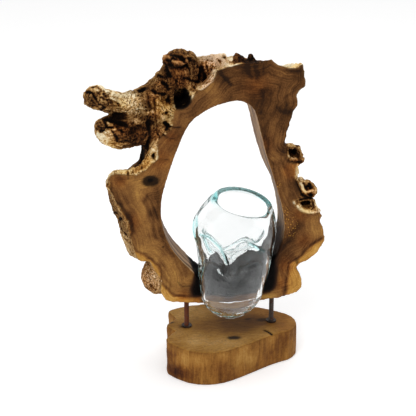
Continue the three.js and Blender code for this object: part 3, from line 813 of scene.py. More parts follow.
            (210, 62, 0.88), (207, 57, 0.98), (215, 58, 1.11), (218, 63, 0.95), (214, 67, 0.73),
            (222, 57, 1.15), (231, 60, 1.21), (236, 64.5, 1.13), (228, 64, 1.11), (212, 73, 0.63),
            (214, 78, 0.75), (209, 83, 0.75), (203, 85, 0.69), (197, 88, 0.63), (193, 85, 0.55),
            (219, 68, 0.68), (190, 94, 0.85), (189, 102, 0.85), (185, 107, 0.83), (178, 106, 0.79),
            (173, 111, 0.87), (173, 119, 0.83),
        ],
        "pod": [
            (234, 55, 0.1), (238, 55, 0.12), (241, 57, 0.16), (237, 61, 0.12), (245, 62, 0.1),
            (251, 54, 0.08), (252, 60, 0.1), (257, 63, 0.14), (248, 66, 0.14), (263, 62, 0.26),
        ],
        "topRightEdge": [
            (274, 63, 0.84), (283, 67, 0.94), (291, 66, 1.19), (298, 63, 1.14), (303, 62.5, 0.74),
        ],
        "leftEdge": [
            (106, 188, 0.62), (108, 199, 0.46), (112, 206, 0.44), (116, 213, 0.5), (120, 219, 0.46),
            (123, 226, 0.54), (127, 233, 0.52), (126, 241, 0.72), (129, 249, 0.72), (128, 257, 0.62),
        ],
        "bulge": [
            (144, 268, 0.62), (145, 279, 0.7), (152, 275, 0.78), (158, 283, 0.74), (151, 289, 0.6),
            (160, 293, 0.66),
        ],
        "box": [
            (288, 146, 0.3), (293, 146, 0.3), (298, 147.5, 0.32), (301, 154, 0.36), (301, 158, 0.32),
            (299, 155, 0.34), (296, 155.5, 0.3), (292, 151, 0.08), (289.5, 151, 0.05), (296, 150, 0.16),
            (290, 158.5, 0.48), (296, 159, 0.48), (287, 150, 0.3), (293, 161, 0.3), (300, 161, 0.16),
            (293, 163, 0.2),
        ],
        "curls": [
            (297, 166, 0.8), (296, 170, 0.85), (299, 176, 0.95), (302, 177, 0.85), (302, 180, 0.85),
            (306, 179, 0.6), (309, 181, 0.5), (305, 183, 0.5), (308, 185, 0.4), (308, 188, 0.35),
            (311, 187, 0.14), (313, 190, 0.5), (314, 193, 0.55), (303, 189, 0.9), (307, 193, 0.95),
            (304, 196, 0.2), (309, 196, 0.16), (300, 188, 0.3),
        ],
        "pocket": [
            (303, 203, 0.26), (306, 204, 0.3), (309, 207, 0.38), (311, 209, 0.34), (296, 203, 0.66),
            (293, 202, 0.56), (299, 208, 0.7), (304, 211.5, 0.72), (311, 213, 0.72), (315, 205, 0.74),
            (317, 209, 0.68), (313, 200, 0.46), (320, 215, 0.38), (316, 217, 0.48),
        ],
        "rightEdge": [
            (297, 268, 0.4), (300, 281, 0.9), (293, 291, 0.7), (310, 257, 0.8), (320, 244, 0.75),
            (286, 298, 0.7),
        ],
    },
    # where it is yellow, pinkish or reddish, and where it is full of small pits: x, y, z, size
    "yellowWood": [
        (-78, -25, 330, 14), (-68, -24, 318, 10), (-57, -24, 332, 8), (-50, -20, 342, 7), (-111, 7, 342, 9),
        (-125, -27, 338, 10), (-137, -32, 292, 10), (-130, -33, 318, 7), (-98, -27, 268, 14),
        (-125, -27, 259, 16), (55, -20, 368, 12), (73, -15, 368, 9), (71, -27, 250, 7), (83, -20, 218, 8),
        (83, -27, 197, 9), (90, -27, 135, 16), (75, -27, 95, 12), (-84, -27, 336, 7),
    ],
    "pinkWood": [
        (-34, -10, 364, 14), (-18, -2, 374, 14), (-72, -8, 380, 9), (-60, -24, 383, 8), (-97, -8, 115, 20),
        (-29, -25, 357, 10), (8, -10, 380, 8), (90, -21, 216, 6),
    ],
    "redWood": [
        (-93, -25, 343, 9), (-89, -27, 322, 7), (-124, -34, 312, 12), (-106, -28, 303, 12),
        (-62, -27, 369, 12), (-62, -27, 360, 12), (-80, -16, 355, 8), (-86, -26, 300, 7), (98, -27, 191, 7),
        (68, -27, 258, 7),
    ],
    "pittedWood": [
        (-108, -22, 340, 13), (-120, -25, 333, 12), (-34, -9, 366, 13), (-22, -6, 369, 10),
        (-75, -25, 330, 12), (-82, -15, 355, 9), (-98, -8, 112, 18), (-40, -18, 372, 8), (-96, -26, 322, 9),
        (77, -25, 126, 9), (-128, 5, 190, 16),
    ],
}
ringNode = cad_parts["root_ring"]
ringCorners = pointsOf(ringNode.data) / 1000
ringFaces = [tuple(face.vertices) for face in ringNode.data.polygons]
ringSkin = BVHTree.FromPolygons(ringCorners.tolist(), ringFaces)


def seenOnFace(u, v):
    # x and z, in whole millimetres, of what shows at u, v in the plane of the sawn front face
    eye, way = lookThrough(u, v)
    place = eye + way * ((rootRing["frontFace"] / 1000 - eye.y) / way.y)
    return round(place.x * 1000), round(place.z * 1000)


def seenOnRing(u, v):
    # x, y and z, in whole millimetres, of the wood that shows at u, v. Where the line of sight just misses
    # the wood, it is the point of that line beside the nearest corner
    eye, way = lookThrough(u, v)
    place = ringSkin.ray_cast(eye, way)[0]
    if place is None:
        away = ringCorners - np.array(eye)
        along = away @ np.array(way)
        aside = np.linalg.norm(away - along[:, None] * np.array(way), axis=1)
        place = eye + way * along[aside.argmin()]
    return tuple(round(part * 1000) for part in place)


def frontLoops(mesh):
    # The outlines of the flat front face, largest first, as x and z points
    step = {}
    for face in mesh.polygons:
        if face.normal.y < -0.99 and abs(face.center.y * 1000 - rootRing["frontFace"]) < 0.1:
            corners = [mesh.vertices[k].co * 1000 for k in face.vertices]
            keys = [(round(corner.x, 2), round(corner.z, 2)) for corner in corners]
            for a, b in zip(keys, keys[1:] + keys[:1]):
                if a in step.get(b, ()):
                    step[b].remove(a)
                else:
                    step.setdefault(a, []).append(b)
    loops = []
    left = {a: list(ends) for a, ends in step.items() if ends}
    while left:
        here = min(left)
        loop = []
        while here in left:
            loop.append(here)
            onward = left[here].pop()
            if not left[here]:
                del left[here]
            here = onward
        loops.append(loop)
    return sorted(loops, key=lambda loop: -np.ptp(np.array(loop)[:, 0]) * np.ptp(np.array(loop)[:, 1]))


def ringSurfaces(points, normals, edges, opening):
    # Which surface each point lies on, as shares: natural wood, sawn faces, the wall of the opening
    r = rootRing
    flat, y = points[:, [0, 2]], points[:, 1].copy()
    onFront = soft(-y, *r["faceDepth"]) * soft(-normals[:, 1], *r["faceTurn"])
    onBack = soft(y, *r["faceDepth"]) * soft(normals[:, 1], *r["faceTurn"])
    depthShare = (y - r["frontFace"]) / (r["backFace"] - r["frontFace"])
    toOpening = reach(flat - depthShare[:, None] * np.array(r["openingDrift"]), opening, closed=True)
    inOpening = soft(-toOpening, *r["wallReach"]) * (1 - np.maximum(onFront, onBack))
    ragged = r["ragged"] * layered(points, 8, 3)
    sawnEdge = [seenOnFace(*place) for place in r["sawnEdge"]]
    barkEdge = [seenOnFace(*place) for place in r["barkEdge"]]
    across = depthIn(flat, sawnEdge + r["sawnCorners"], sawnEdge) + ragged
    across = np.maximum(across, depthIn(flat, barkEdge + r["barkCorners"], barkEdge) + ragged)
    across = np.maximum(across, depthIn(flat, r["curls"]) + 0.3 * ragged)
    natural = soft(across, *r["edgeChange"]) * soft(-y, *r["edgeBack"])
    sawn = np.maximum(onFront * (1 - natural), onBack)
    wild = spread(np.clip(1 - sawn - inOpening, 0, 1), edges, 1)
    return {
        "flat": flat,
        "y": y,
        "depthShare": depthShare,
        "toOpening": toOpening,
        "inOpening": inOpening,
        "across": across,
        "natural": natural,
        "sawn": sawn,
        "wild": wild,
    }


def ringChar(points, edges, inOpening):
    # Charred where the glass was laid on: the bar's top and the faces beside the glass
    c = rootRing["charring"]
    x, y, z = points.T
    sway = 4 * layered(points, 14, 41)
    middle = c["middle"] + c["lean"] * (z - 100)
    beside = np.interp(z, *np.array(c["halfWidths"]).T) - np.abs(x - middle) + 0.7 * sway
    low = soft(c["top"] - z + sway, *c["topFade"]) * soft(z + 0.5 * sway, *c["foot"])
    charred = soft(beside, *c["side"]) * low * soft(c["back"] - y, *c["backFade"])
    singed = soft(x, *c["rightFrom"]) * soft(c["rightTop"] - z + sway, *c["rightFade"])
    singed *= soft(z, *c["rightFoot"]) * inOpening
    char = np.maximum(charred, c["rightWall"] * singed)
    return spread(char, edges, 3)


def wildRelief(points, edges, surface, pitted):
    # Lumps, folds, grooves and pits; the grooves run along the stubs and up the trunk
    r = rootRing["relief"]
    rough = np.clip(surface["wild"] * (0.55 + 0.45 * soft(surface["across"], -4, 6)), 0, 1)
    twist = points + 5 * swayed(points, 16, (151, 152, 153), 1)
    onStub = soft(-points[:, 0], *r["stubLeft"]) * soft(points[:, 2], *r["stubAbove"])
    upright = ridged(twist, r["uprightGrain"], 9)
    lengthwise = ridged(twist, r["lengthGrain"], 10)
    grooves = upright + (lengthwise - upright) * onStub
    folds = ridged(twist, r["foldGrain"], 8)
    fibres = ridged(twist, r["fibreGrain"], 11)
    pits = soft(softNoise(points, r["pitGrain"], 14), 0.35, 0.7) * (0.25 + 0.75 * pitted)
    relief = layered(points, r["lumpGrain"], 5) - r["pits"] * pits
    for ridges, high in ((folds, r["folds"]), (grooves, r["grooves"]), (fibres, r["fibres"])):
        relief += high * (ridges - r["ridgeMean"])
    relief *= 1 - 0.85 * around(points, [(*r["smoothBulge"], r["bulgeSize"])])
    relief -= spread(relief * rough, edges, 40) * 0.8
    return rough * relief, rough, onStub


def carveWild(points, normals, surface, tone):
    # The hollows, lumps and strokes of the natural wood: how far each point moves, how dark it is with
    # painted shade in the hollows, and its tone with painted shade and light along the strokes
    r = rootRing
    flat, y, wild, across = surface["flat"], surface["y"], surface["wild"], surface["across"]
    dent, dark = np.zeros(len(points)), np.zeros(len(points))
    uneven = 0.18 * layered(points, 4, 141, 2)
    for *middle, wide, thick, high, depth, strength in r["hollows"]:
        gap = egg(points, middle, (wide, thick, high)) + uneven
        dent -= depth * (1 - soft(gap, 0.35, 1.15)) * wild
        # painted shade: the hollows are coloured dark as well as carved
        dark = np.maximum(dark, strength * (1 - soft(gap, 0.5, 1.15)) * wild)
    mouth = depthIn(flat, r["deepHollow"]) + 0.6 * layered(points, 5, 142, 2)
    forward = soft(-y, *r["deepHollowFront"])
    dent -= r["deepHollowDepth"] * soft(mouth, *r["deepHollowSlope"]) * forward
    # painted shade inside the mouth of the deep hollow
    dark = np.maximum(dark, soft(mouth, *r["deepHollowShade"]) * forward)
    for *middle, wide, thick, high, height in r["lumps"]:
        dent += height * np.exp(-egg(points, middle, (wide, thick, high)) ** 2) * wild
    wobble = points + 0.9 * swayed(points, 5, (161, 162, 163), 2)
    for line, half, height, change in (stroke for group in r["strokes"].values() for stroke in group):
        places = [seenOnRing(*place) for place in line]
        near = np.exp(-(reach(wobble, places) / (half + 0.55)) ** 2)
        dent += height * near * wild
        # painted shade in the cracks and grooves and painted light on the ridges, besides their own colour
        tone += change * near
    # the wood falls back behind the sawn edge, and a rounded lip runs along it
    away = soft(across, *r["fallAcross"]) * surface["natural"] * soft(-normals[:, 1], *r["fallTurn"])
    dent -= r["fallBack"] * away * soft(-y, *r["fallFront"])
    lip = np.exp(-((across - r["lipPlace"]) / r["lipWidth"]) ** 2) * soft(points[:, 2], *r["lipAbove"])
    lip *= surface["natural"] * wild
    dent += r["lipHeight"] * lip
    tone += 0.12 * lip
    return dent, dark, tone


def finishSawn(points, surface, char, opening, dark):
    # The sawn faces are sanded, faintly uneven, charred and softened along their rims; knots and cracks
    r = rootRing
    c = r["charring"]
    flat, y, sawn = surface["flat"], surface["y"], surface["sawn"]
    dent = sawn * 0.16 * layered(points, 16, 51)
    sanding = 0.35 * layered(points, (9, 60, 9), 61, 2) + 0.15 * softNoise(points, (2.4, 30, 2.4), 62)
    dent += surface["inOpening"] * sanding
    dent -= char * (0.3 + 0.8 * ridged(points, 5, 71)) * (0.3 + 0.7 * (1 - sawn))
    bent = np.hypot(reach(flat, opening, closed=True), np.minimum(y - r["frontFace"], 40))
    dent -= c["rimDepth"] * char * np.exp(-(bent / c["rimWidth"]) ** 2)
    jag = char * soft(points[:, 2], *c["jagFoot"]) * (1 - sawn)
    dent -= jag * c["jagDepth"] * soft(softNoise(points, (4.5, 9, 4.5), 73), 0, 0.6)
    ahead = soft(-y, *r["ahead"])
    uneven = 0.1 * layered(points, 3, 81)
    for x, z, wide, high, depth, strength in r["knots"]:
        ring = np.hypot((flat[:, 0] - x) / wide, (flat[:, 1] - z) / high) + uneven
        dent -= depth * (1 - soft(ring, 0.55, 1.1)) * ahead
        dark = np.maximum(dark, strength * (1 - soft(ring, 0.75, 1.15)) * ahead)
    for line, half in r["cracks"]:
        near = reach(flat + 0.6 * softNoise(points, 5, 91)[:, None], line)
        crack = np.exp(-(near / (half + 0.5)) ** 2) * ahead
        dent -= r["crackDepth"] * crack
        dark = np.maximum(dark, r["crackDark"] * crack)
    return dent, dark


def sawnStains(flat, start):
    # The dark growth lines, the pale sapwood outside the outermost of them, and the tone of the sawn wood
    r = rootRing
    wander = flat + 1.8 * swayed(start, 11, (101, 102))
    stain, lines = np.zeros(len(flat)), []
    for seen, half, strength in r["darkLines"]:
        lines.append([seenOnFace(*place) for place in seen])
        stain = np.maximum(stain, strength * np.exp(-(reach(wander, lines[-1]) / half) ** 2))
    leftOfHeart = within(wander, lines[0] + r["sapCornersLeft"])
    rightOfHeart = within(wander, lines[1] + r["sapCornersRight"])
    sap = np.maximum(leftOfHeart, rightOfHeart).astype(float)
    tones = [(*seenOnFace(u, v), tone) for group in r["sawnTones"].values() for u, v, tone in group]
    tone = toned(wander, tones, r["sawnToneSize"], r["sawnToneFar"])
    tone = np.where(sap > 0, np.maximum(tone, r["sapTone"]), np.minimum(tone, r["heartTone"])) + 0.02
    return stain, sap, tone


def sculptRing():
    r = rootRing
    piece = fineCopy("root_ring", "rootWood", r["voxel"], r["plugs"])
    mesh = piece.data
    print("root ring faces", len(mesh.polygons))
    points, normals, edges = pointsOf(mesh), normalsOf(mesh), edgesOf(mesh)
    outer, opening = frontLoops(ringNode.data)[:2]
    surface = ringSurfaces(points, normals, edges, opening)
    flat, y, wild = surface["flat"], surface["y"], surface["wild"]
    char = ringChar(points, edges, surface["inOpening"])

    # take the facets off the natural wood without losing its size
    points = spread(points, edges, 9, inAndOut, hold=wild)
    points = spread(points, edges, 1)
    # the right wall of the opening leans out towards the back
    leaning = np.exp(-(surface["toOpening"] / r["leanReach"]) ** 2) * soft(points[:, 0], *r["leanRight"])
    leaning *= soft(points[:, 2], *r["leanAbove"]) * (1 - soft(points[:, 2], *r["leanBelow"]))
    points[:, 0] -= r["wallLean"] * leaning * soft(surface["depthShare"], 0.0, 1.0)
    start = points.copy()

    pitted = np.clip(around(start, r["pittedWood"]), 0, 1)
    dent, rough, onStub = wildRelief(points, edges, surface, pitted)
    # the tones wander more where the wood leaves the front
    drift = swayed(points, 14, (171, 172, 173)) * (0.6 + 5 * soft(y, -14, 8))[:, None]
    places = [(*seenOnRing(u, v), tone) for group in r["wildTones"].values() for u, v, tone in group]
    tone = toned(start + drift, places, r["wildToneSize"], r["wildToneFar"])
    carved, dark, tone = carveWild(points, normals, surface, tone)
    sanded, dark = finishSawn(points, surface, char, opening, dark)
    points = points + normals * (dent + carved + sanded)[:, None]

    # painted shade darkens the hollows and painted light brightens the crests, by how sunk each point lies
    sunk = ((spread(points, edges, 9) - points) * normals).sum(axis=1)
    tone -= r["cavityShade"] * np.clip(sunk / 0.6, -0.8, 2.0) * rough

    stain, sap, sawnTone = sawnStains(flat, start)
    keepValue(mesh, "wild", wild)
    keepShare(mesh, "char", char)
    keepValue(mesh, "stain", np.clip(stain, 0, 1) * (1 - wild))
    keepValue(mesh, "sap", spread(sap, edges, 1))
    keepShare(mesh, "dark", dark)
    keepValue(mesh, "tone", np.clip(tone, -0.4, 1.2))
    keepValue(mesh, "sawnTone", spread(sawnTone, edges, 2))
    for name in ("yellow", "pink", "red"):
        keepShare(mesh, name, around(start, r[f"{name}Wood"]))
    for name in ("warm", "flecked"):
        keepShare(mesh, name, around(flat, r[f"{name}Wood"]))
    keepValue(mesh, "pitted", pitted)
    keepValue(mesh, "across", depthIn(flat, outer))
    keepValue(mesh, "walls", surface["inOpening"])
    keepValue(mesh, "stub", onStub)
    movePoints(mesh, points)
    return piece


# Colours of the ring: each ramp goes from dark to pale, as a tone and a colour as it looks
ringColours = {
    "sawn": [(0.0, (42, 25, 13)), (0.2, (76, 47, 22)), (0.35, (102, 66, 34)), (0.5, (128, 87, 45)),
             (0.65, (154, 110, 57)), (0.8, (182, 137, 68)), (1.0, (212, 172, 102))],
    "wall": [(0.34, (70, 44, 28)), (0.46, (140, 104, 70)), (0.56, (192, 152, 106)), (0.66, (224, 190, 146))],
    "wild": [(0.0, (13, 8, 5)), (0.15, (38, 23, 13)), (0.3, (72, 44, 23)), (0.45, (112, 74, 38)),
             (0.6, (156, 113, 64)), (0.75, (196, 155, 98)), (0.88, (226, 193, 140)), (1.0, (250, 234, 198))],
    # kept value, share and tint
    "sawnTints": [("sap", 0.5, (255, 236, 196)), ("warm", 0.75, (255, 222, 188))],
    "wildTints": [("yellow", 0.8, (255, 232, 178)), ("pink", 0.8, (255, 228, 222)),
                  ("red", 0.45, (255, 202, 166))],
    # near-black for painted shade in the hollows and holes, and for knots and cracks
    "fleck": (206, 146, 58),
    "hollow": (15, 10, 7),
    "singed": (56, 34, 20),
    "charred": (13, 10, 9),
}


def sawnWood(tree, place, spot):
    # Streaks that follow the outline, so that the grain runs round the ring
    sway = minus(tree, grain(tree, place, 30, 3), 0.5)
    flowing = plus(tree, kept(tree, "across"), times(tree, sway, 12))
    fine = grain(tree, joined(tree, (flowing, 0.75), (spot[0], 26), (spot[2], 26)), 1.0, 5, 0.65)
    broad = grain(tree, joined(tree, (flowing, 0.22), (spot[0], 16), (spot[2], 16)), 1.0, 3, 0.5, 0.6)
    blot = grain(tree, place, 26, 3)
    mottle = grain(tree, place, 75, 4, 0.6)
    fleck = grain(tree, place, 600, 4, 0.65)
    tone = minus(tree, kept(tree, "sawnTone"), times(tree, kept(tree, "stain"), 0.55))
    tone = swung(tree, tone, (fine, 0.5), (broad, 0.42), (blot, 0.3), (mottle, 0.5), (fleck, 0.35))
    colour = ramp(tree, tone, ringColours["sawn"])
    for name, share, tint in ringColours["sawnTints"]:
        colour = tinted(tree, colour, name, share, tint)
    dots = between(tree, speckle(tree, place, 420), 0.22, 0.34, 1.0, 0.0)
    dots = times(tree, dots, times(tree, kept(tree, "flecked"), 0.85))
    colour = blend(tree, dots, colour, paint(*ringColours["fleck"]))
    # the sanded inner wall: long bands of beige, grey and brown
    bands = grain(tree, joined(tree, (spot[1], 190), (spot[0], 8), (spot[2], 8)), 1.0, 3, 0.6, 0.4)
    wall = ramp(tree, bands, ringColours["wall"])
    return blend(tree, times(tree, kept(tree, "walls"), 0.85), colour, wall), times(tree, fine, 0.1)


def wildWood(tree, place):
    # Weathered wood: pale crust, brown hollows, thin cracks and dark pits; also its bump and its crust
    stretched = mixed(tree, kept(tree, "stub"), (1.0, 0.8, 0.32), (0.32, 0.8, 1.0), "VECTOR")
    evened = mixed(tree, kept(tree, "pitted"), stretched, (1.0, 1.0, 1.0), "VECTOR")
    along = put(tree, "ShaderNodeVectorMath", {0: place, 1: evened}, operation="MULTIPLY").outputs[0]
    crust = grain(tree, along, 210, 6, 0.7, 0.5)
    speck = grain(tree, place, 430, 5, 0.7)
    lines = minus(tree, grain(tree, along, 95, 4, 0.6, 0.7), 0.5)
    cracks = between(tree, maths(tree, "ABSOLUTE", lines), 0.004, 0.026, 1.0, 0.0)
    cracks = times(tree, cracks, between(tree, grain(tree, place, 55, 2), 0.42, 0.6))
    pores = between(tree, speckle(tree, place, 330), 0.14, 0.3, 1.0, 0.0)
    manyPores = plus(tree, times(tree, kept(tree, "pitted"), 0.2), grain(tree, place, 70, 3))
    pores = times(tree, pores, between(tree, manyPores, 0.5, 0.64))
    dots = between(tree, grain(tree, place, 560, 3, 0.6), 0.36, 0.48, 1.0, 0.0)
    dots = times(tree, dots, plus(tree, times(tree, kept(tree, "pitted"), 0.3), 0.25))
    tone = swung(tree, plus(tree, kept(tree, "tone"), 0.08), (crust, 0.95), (speck, 0.95))
    bump = plus(tree, times(tree, crust, 1.2), times(tree, speck, 0.6))
    for mark, darker, deeper in ((cracks, 0.34, 0.5), (pores, 0.5, 0.5)):
        tone = minus(tree, tone, times(tree, mark, darker))
        bump = minus(tree, bump, times(tree, mark, deeper))
    colour = ramp(tree, minus(tree, tone, dots), ringColours["wild"])
    for name, share, tint in ringColours["wildTints"]:
        colour = tinted(tree, colour, name, share, tint)
    return colour, bump, crust


def rootFinish():
    finish, tree = newFinish("rootWood")
    place, spot = objectPlace(tree)
    sawnColour, sawnBump = sawnWood(tree, place, spot)
    wildColour, wildBump, crust = wildWood(tree, place)
    colour = blend(tree, kept(tree, "wild"), sawnColour, wildColour)
    # painted shade in the hollows and holes, and the dark of knots and cracks
    colour = blend(tree, kept(tree, "dark"), colour, paint(*ringColours["hollow"]))
    soot = swung(tree, kept(tree, "char"), (crust, 0.3))
    colour = blend(tree, between(tree, soot, 0.05, 0.6), colour, paint(*ringColours["singed"]))
    colour = blend(tree, between(tree, soot, 0.4, 0.95), colour, paint(*ringColours["charred"]))
    rough = maths(tree, "MAXIMUM", kept(tree, "wild"), times(tree, kept(tree, "char"), 0.7))
    gloss = between(tree, rough, 0.0, 1.0, 0.5, 0.9)
    shader = put(tree, "ShaderNodeBsdfPrincipled", {"Base Color": colour, "Roughness": gloss})
    shader.inputs["Specular IOR Level"].default_value = 0.06
    finishWith(tree, shader, mixed(tree, rough, sawnBump, wildBump), 1.0, 0.0022)
    return finish


dress(sculptRing(), "stand", rootFinish(), "root_wood", "root_ring")
print("root ring sculpted")


# Base block
baseBlock = {
    "voxel": 0.0013,
    # the top slopes down to the right, the left end is rougher, and the underside stays flat
    "height": 42.9,
    "slope": 0.028,
    "topEdge": (-1.5, -0.4),
    "leftEnd": (58, 66),
    "foot": (0.5, 3),
    # dark marks in the top: x, y, half length, half width, how dark
    "marks": [
        (-1, -35, 10, 5.5, 0.95), (24, 8, 5, 2.2, 0.7), (-70, 11, 6, 3, 0.8), (14, 20, 12, 3, 0.3),
        (-53, 0, 9, 6, 0.75), (42, 4, 9, 6, 0.7), (-79, 4, 5, 4, 0.9),
    ],
    # broad brown clouds, painted shadow of the ring together with stain, and golden places in the top: x, y,
    # size, amount
    "shadowAndStainClouds": [
        (-30, -4, 20, 0.6), (5, -2, 18, 0.8), (32, 0, 16, 0.7), (52, 2, 12, 0.5), (20, -20, 12, 0.4),
        (-5, -26, 14, 0.35), (60, -12, 10, 0.3), (0, 12, 16, 0.5), (30, 14, 12, 0.35),
    ],
    "golden": [
        (-50, -34, 18, 0.8), (-15, -48, 20, 0.8), (-45, 34, 22, 0.9), (-68, -15, 12, 0.4), (30, -40, 16, 0.5),
    ],
    # pinkish places in the top: x, y, size
    "pink": [(45, 30, 24), (70, 8, 18), (62, -18, 12)],
    # a crack in the top, x and y
    "crack": [(39, -22), (43, -27), (47, -36)],
    "crackDepth": 1.2,
    "chipDepth": 0.7,
    # brown and golden places in the sides: x, z, size, amount
    "sideBrown": [
        (-73, 10, 10, 0.9), (-60, 8, 9, 0.5), (-78, 30, 7, 0.5), (-25, 20, 12, 0.35), (-10, 6, 14, 0.3),
        (40, 12, 16, 0.35), (62, 30, 10, 0.3), (-50, 22, 9, 0.2),
    ],
    "sideGolden": [
        (-66, 26, 10, 0.6), (-48, 32, 10, 0.6), (-38, 14, 9, 0.4), (6, 28, 12, 0.7), (20, 20, 9, 0.5),
        (-20, 36, 8, 0.3),
    ],
}


def sculptBase():
    b = baseBlock
    piece = fineCopy("base_block", "baseBlock", b["voxel"])
    mesh = piece.data
    edges = edgesOf(mesh)
    points = spread(pointsOf(mesh), edges, 3)
    normals = normalsOf(mesh)
    x, y, z = points.T.copy()
    level = np.abs(normals[:, 2])
    top = b["height"] - b["slope"] * x
    onTop = soft(z - top, *b["topEdge"]) * soft(normals[:, 2], 0.5, 0.85)
    onSide = soft(1 - level, 0.4, 0.8)

    # the sawn top and the grain of the sides, which are rougher at the left
    dent = onTop * 0.25 * layered(points, 22, 201)
    dent += onSide * (0.3 * layered(points, (9, 9, 40), 202) + 0.25 * softNoise(points, (3, 3, 25), 203))
    dent += soft(-x, *b["leftEnd"]) * onSide * 0.35 * layered(points, 8, 204)
    rim = np.abs(z - top)
    chips = (1 - soft(rim, 1.0, 4.5)) * soft(softNoise(points, 7, 205), 0.15, 0.7)
    dent -= b["chipDepth"] * chips * (1 - soft(level, 0.9, 1))

    # marks and a crack in the top
    dark = np.zeros(len(points))
    for across, along, wide, deep, strength in b["marks"]:
        spot = np.hypot((x - across) / wide, (y - along) / deep) + 0.12 * layered(points, 5, 206)
        dark = np.maximum(dark, strength * (1 - soft(spot, 0.5, 1.15)) * onTop)
    near = reach(points[:, :2] + 0.5 * softNoise(points, 5, 207)[:, None], b["crack"])
    crack = (1 - soft(near, 1.2, 2.3)) * onTop
    dent -= b["crackDepth"] * crack
    dark = np.maximum(dark, crack)

    upright = points[:, [0, 2]] + 2.5 * layered(points, 12, 208)[:, None]
    points += normals * (dent * soft(z, *b["foot"]))[:, None]
    flat = points[:, :2]
    keepValue(mesh, "top", onTop)
    keepShare(mesh, "shadowAndStain", around(flat, b["shadowAndStainClouds"]))
    keepShare(mesh, "dark", dark)
    keepValue(mesh, "golden", np.clip(around(flat, b["golden"]), 0, 1) * onTop)
    keepShare(mesh, "pink", around(flat, b["pink"]))
    for name in ("sideBrown", "sideGolden"):
        keepValue(mesh, name, np.clip(around(upright, b[name]), 0, 1) * onSide)
    keepValue(mesh, "rim", (1 - soft(rim, 0.5, 3.5)) * (1 - 0.5 * onTop))
    movePoints(mesh, points)
    return piece


# Colours of the base, as they look
baseColours = {
    "top": [(0.0, (44, 26, 14)), (0.2, (86, 55, 26)), (0.4, (124, 85, 40)), (0.6, (158, 115, 55)),
            (0.8, (184, 141, 78)), (1.0, (208, 170, 108))],
    "side": [(0.0, (48, 25, 13)), (0.2, (84, 50, 22)), (0.4, (118, 76, 33)), (0.6, (150, 103, 46)),
             (0.8, (176, 130, 66)), (1.0, (200, 158, 92))],
    "pinkTint": (255, 232, 222),
    "brownTint": (255, 220, 205),
    "worn": (70, 42, 22),
    "specks": (74, 44, 22),
    "mark": (18, 13, 10),
}


def baseFinish():
    finish, tree = newFinish("baseWood")
    c = baseColours
    place, spot = objectPlace(tree)
    bent = plus(tree, spot[1], times(tree, grain(tree, place, 24, 3), 0.03))
    topFine = grain(tree, joined(tree, (spot[0], 60), (bent, 330)), 1.0, 5, 0.65)
    sideFine = grain(tree, joined(tree, (spot[0], 300), (spot[1], 300), (spot[2], 34)), 1.0, 5, 0.65)
    blot = grain(tree, place, 40, 5, 0.6)
    small = grain(tree, place, 380, 4, 0.65)

    # tones of the top and of the sides, 0 dark to 1 pale
    shadowAndStain = swung(tree, kept(tree, "shadowAndStain"), (blot, 1.2))
    topTone = plus(tree, times(tree, kept(tree, "golden"), 0.32), 0.59)
    # the brown clouds darken the top with the ring's painted shadow and with stain
    topTone = minus(tree, topTone, times(tree, between(tree, shadowAndStain, 0.1, 0.9), 0.22))
    topTone = swung(tree, topTone, (topFine, 0.6), (blot, 0.6), (small, 0.5))
    topColour = tinted(tree, ramp(tree, topTone, c["top"]), "pink", 0.6, c["pinkTint"])
    sideTone = plus(tree, times(tree, kept(tree, "sideGolden"), 0.28), 0.53)
    sideTone = minus(tree, sideTone, times(tree, kept(tree, "sideBrown"), 0.3))
    sideTone = swung(tree, sideTone, (sideFine, 0.7), (blot, 0.8), (small, 0.5))
    sideColour = tinted(tree, ramp(tree, sideTone, c["side"]), "sideBrown", 0.6, c["brownTint"])
    colour = blend(tree, kept(tree, "top"), sideColour, topColour)

    # worn edges, brown specks and the dark marks
    worn = times(tree, kept(tree, "rim"), between(tree, small, 0.42, 0.6))
    colour = blend(tree, times(tree, worn, 0.6), colour, paint(*c["worn"]))
    colour = blend(tree, times(tree, between(tree, small, 0.54, 0.7), 0.3), colour, paint(*c["specks"]))
    colour = blend(tree, kept(tree, "dark"), colour, paint(*c["mark"]))
    height = plus(tree, mixed(tree, kept(tree, "top"), sideFine, topFine), times(tree, small, 0.7))
    gloss = between(tree, topFine, 0.0, 1.0, 0.5, 0.7)
    shader = put(tree, "ShaderNodeBsdfPrincipled", {"Base Color": colour, "Roughness": gloss})
    shader.inputs["Specular IOR Level"].default_value = 0.08
    finishWith(tree, shader, height, 0.5, 0.0006)
    return finish


dress(sculptBase(), "stand", baseFinish(), "base_wood", "base_block")
print("base block sculpted")


# Threaded rods and what clamps them
rods = {
    "radius": 2.98,
    "pitch": 1.0,
    "cut": 0.42,
    "endTaper": 0.5,
    "sides": 24,
    "ringsPerTurn": 5,
    # bare steel, rust and how far the rust has spread
    "leftRod": ((84, 72, 64), (112, 58, 32), 0.8),
    "rightRod": ((92, 84, 78), (84, 48, 32), 0.45),
    "darkSteel": ((60, 52, 46), (62, 40, 28), 0.5),
    "grime": (38, 24, 18),
}


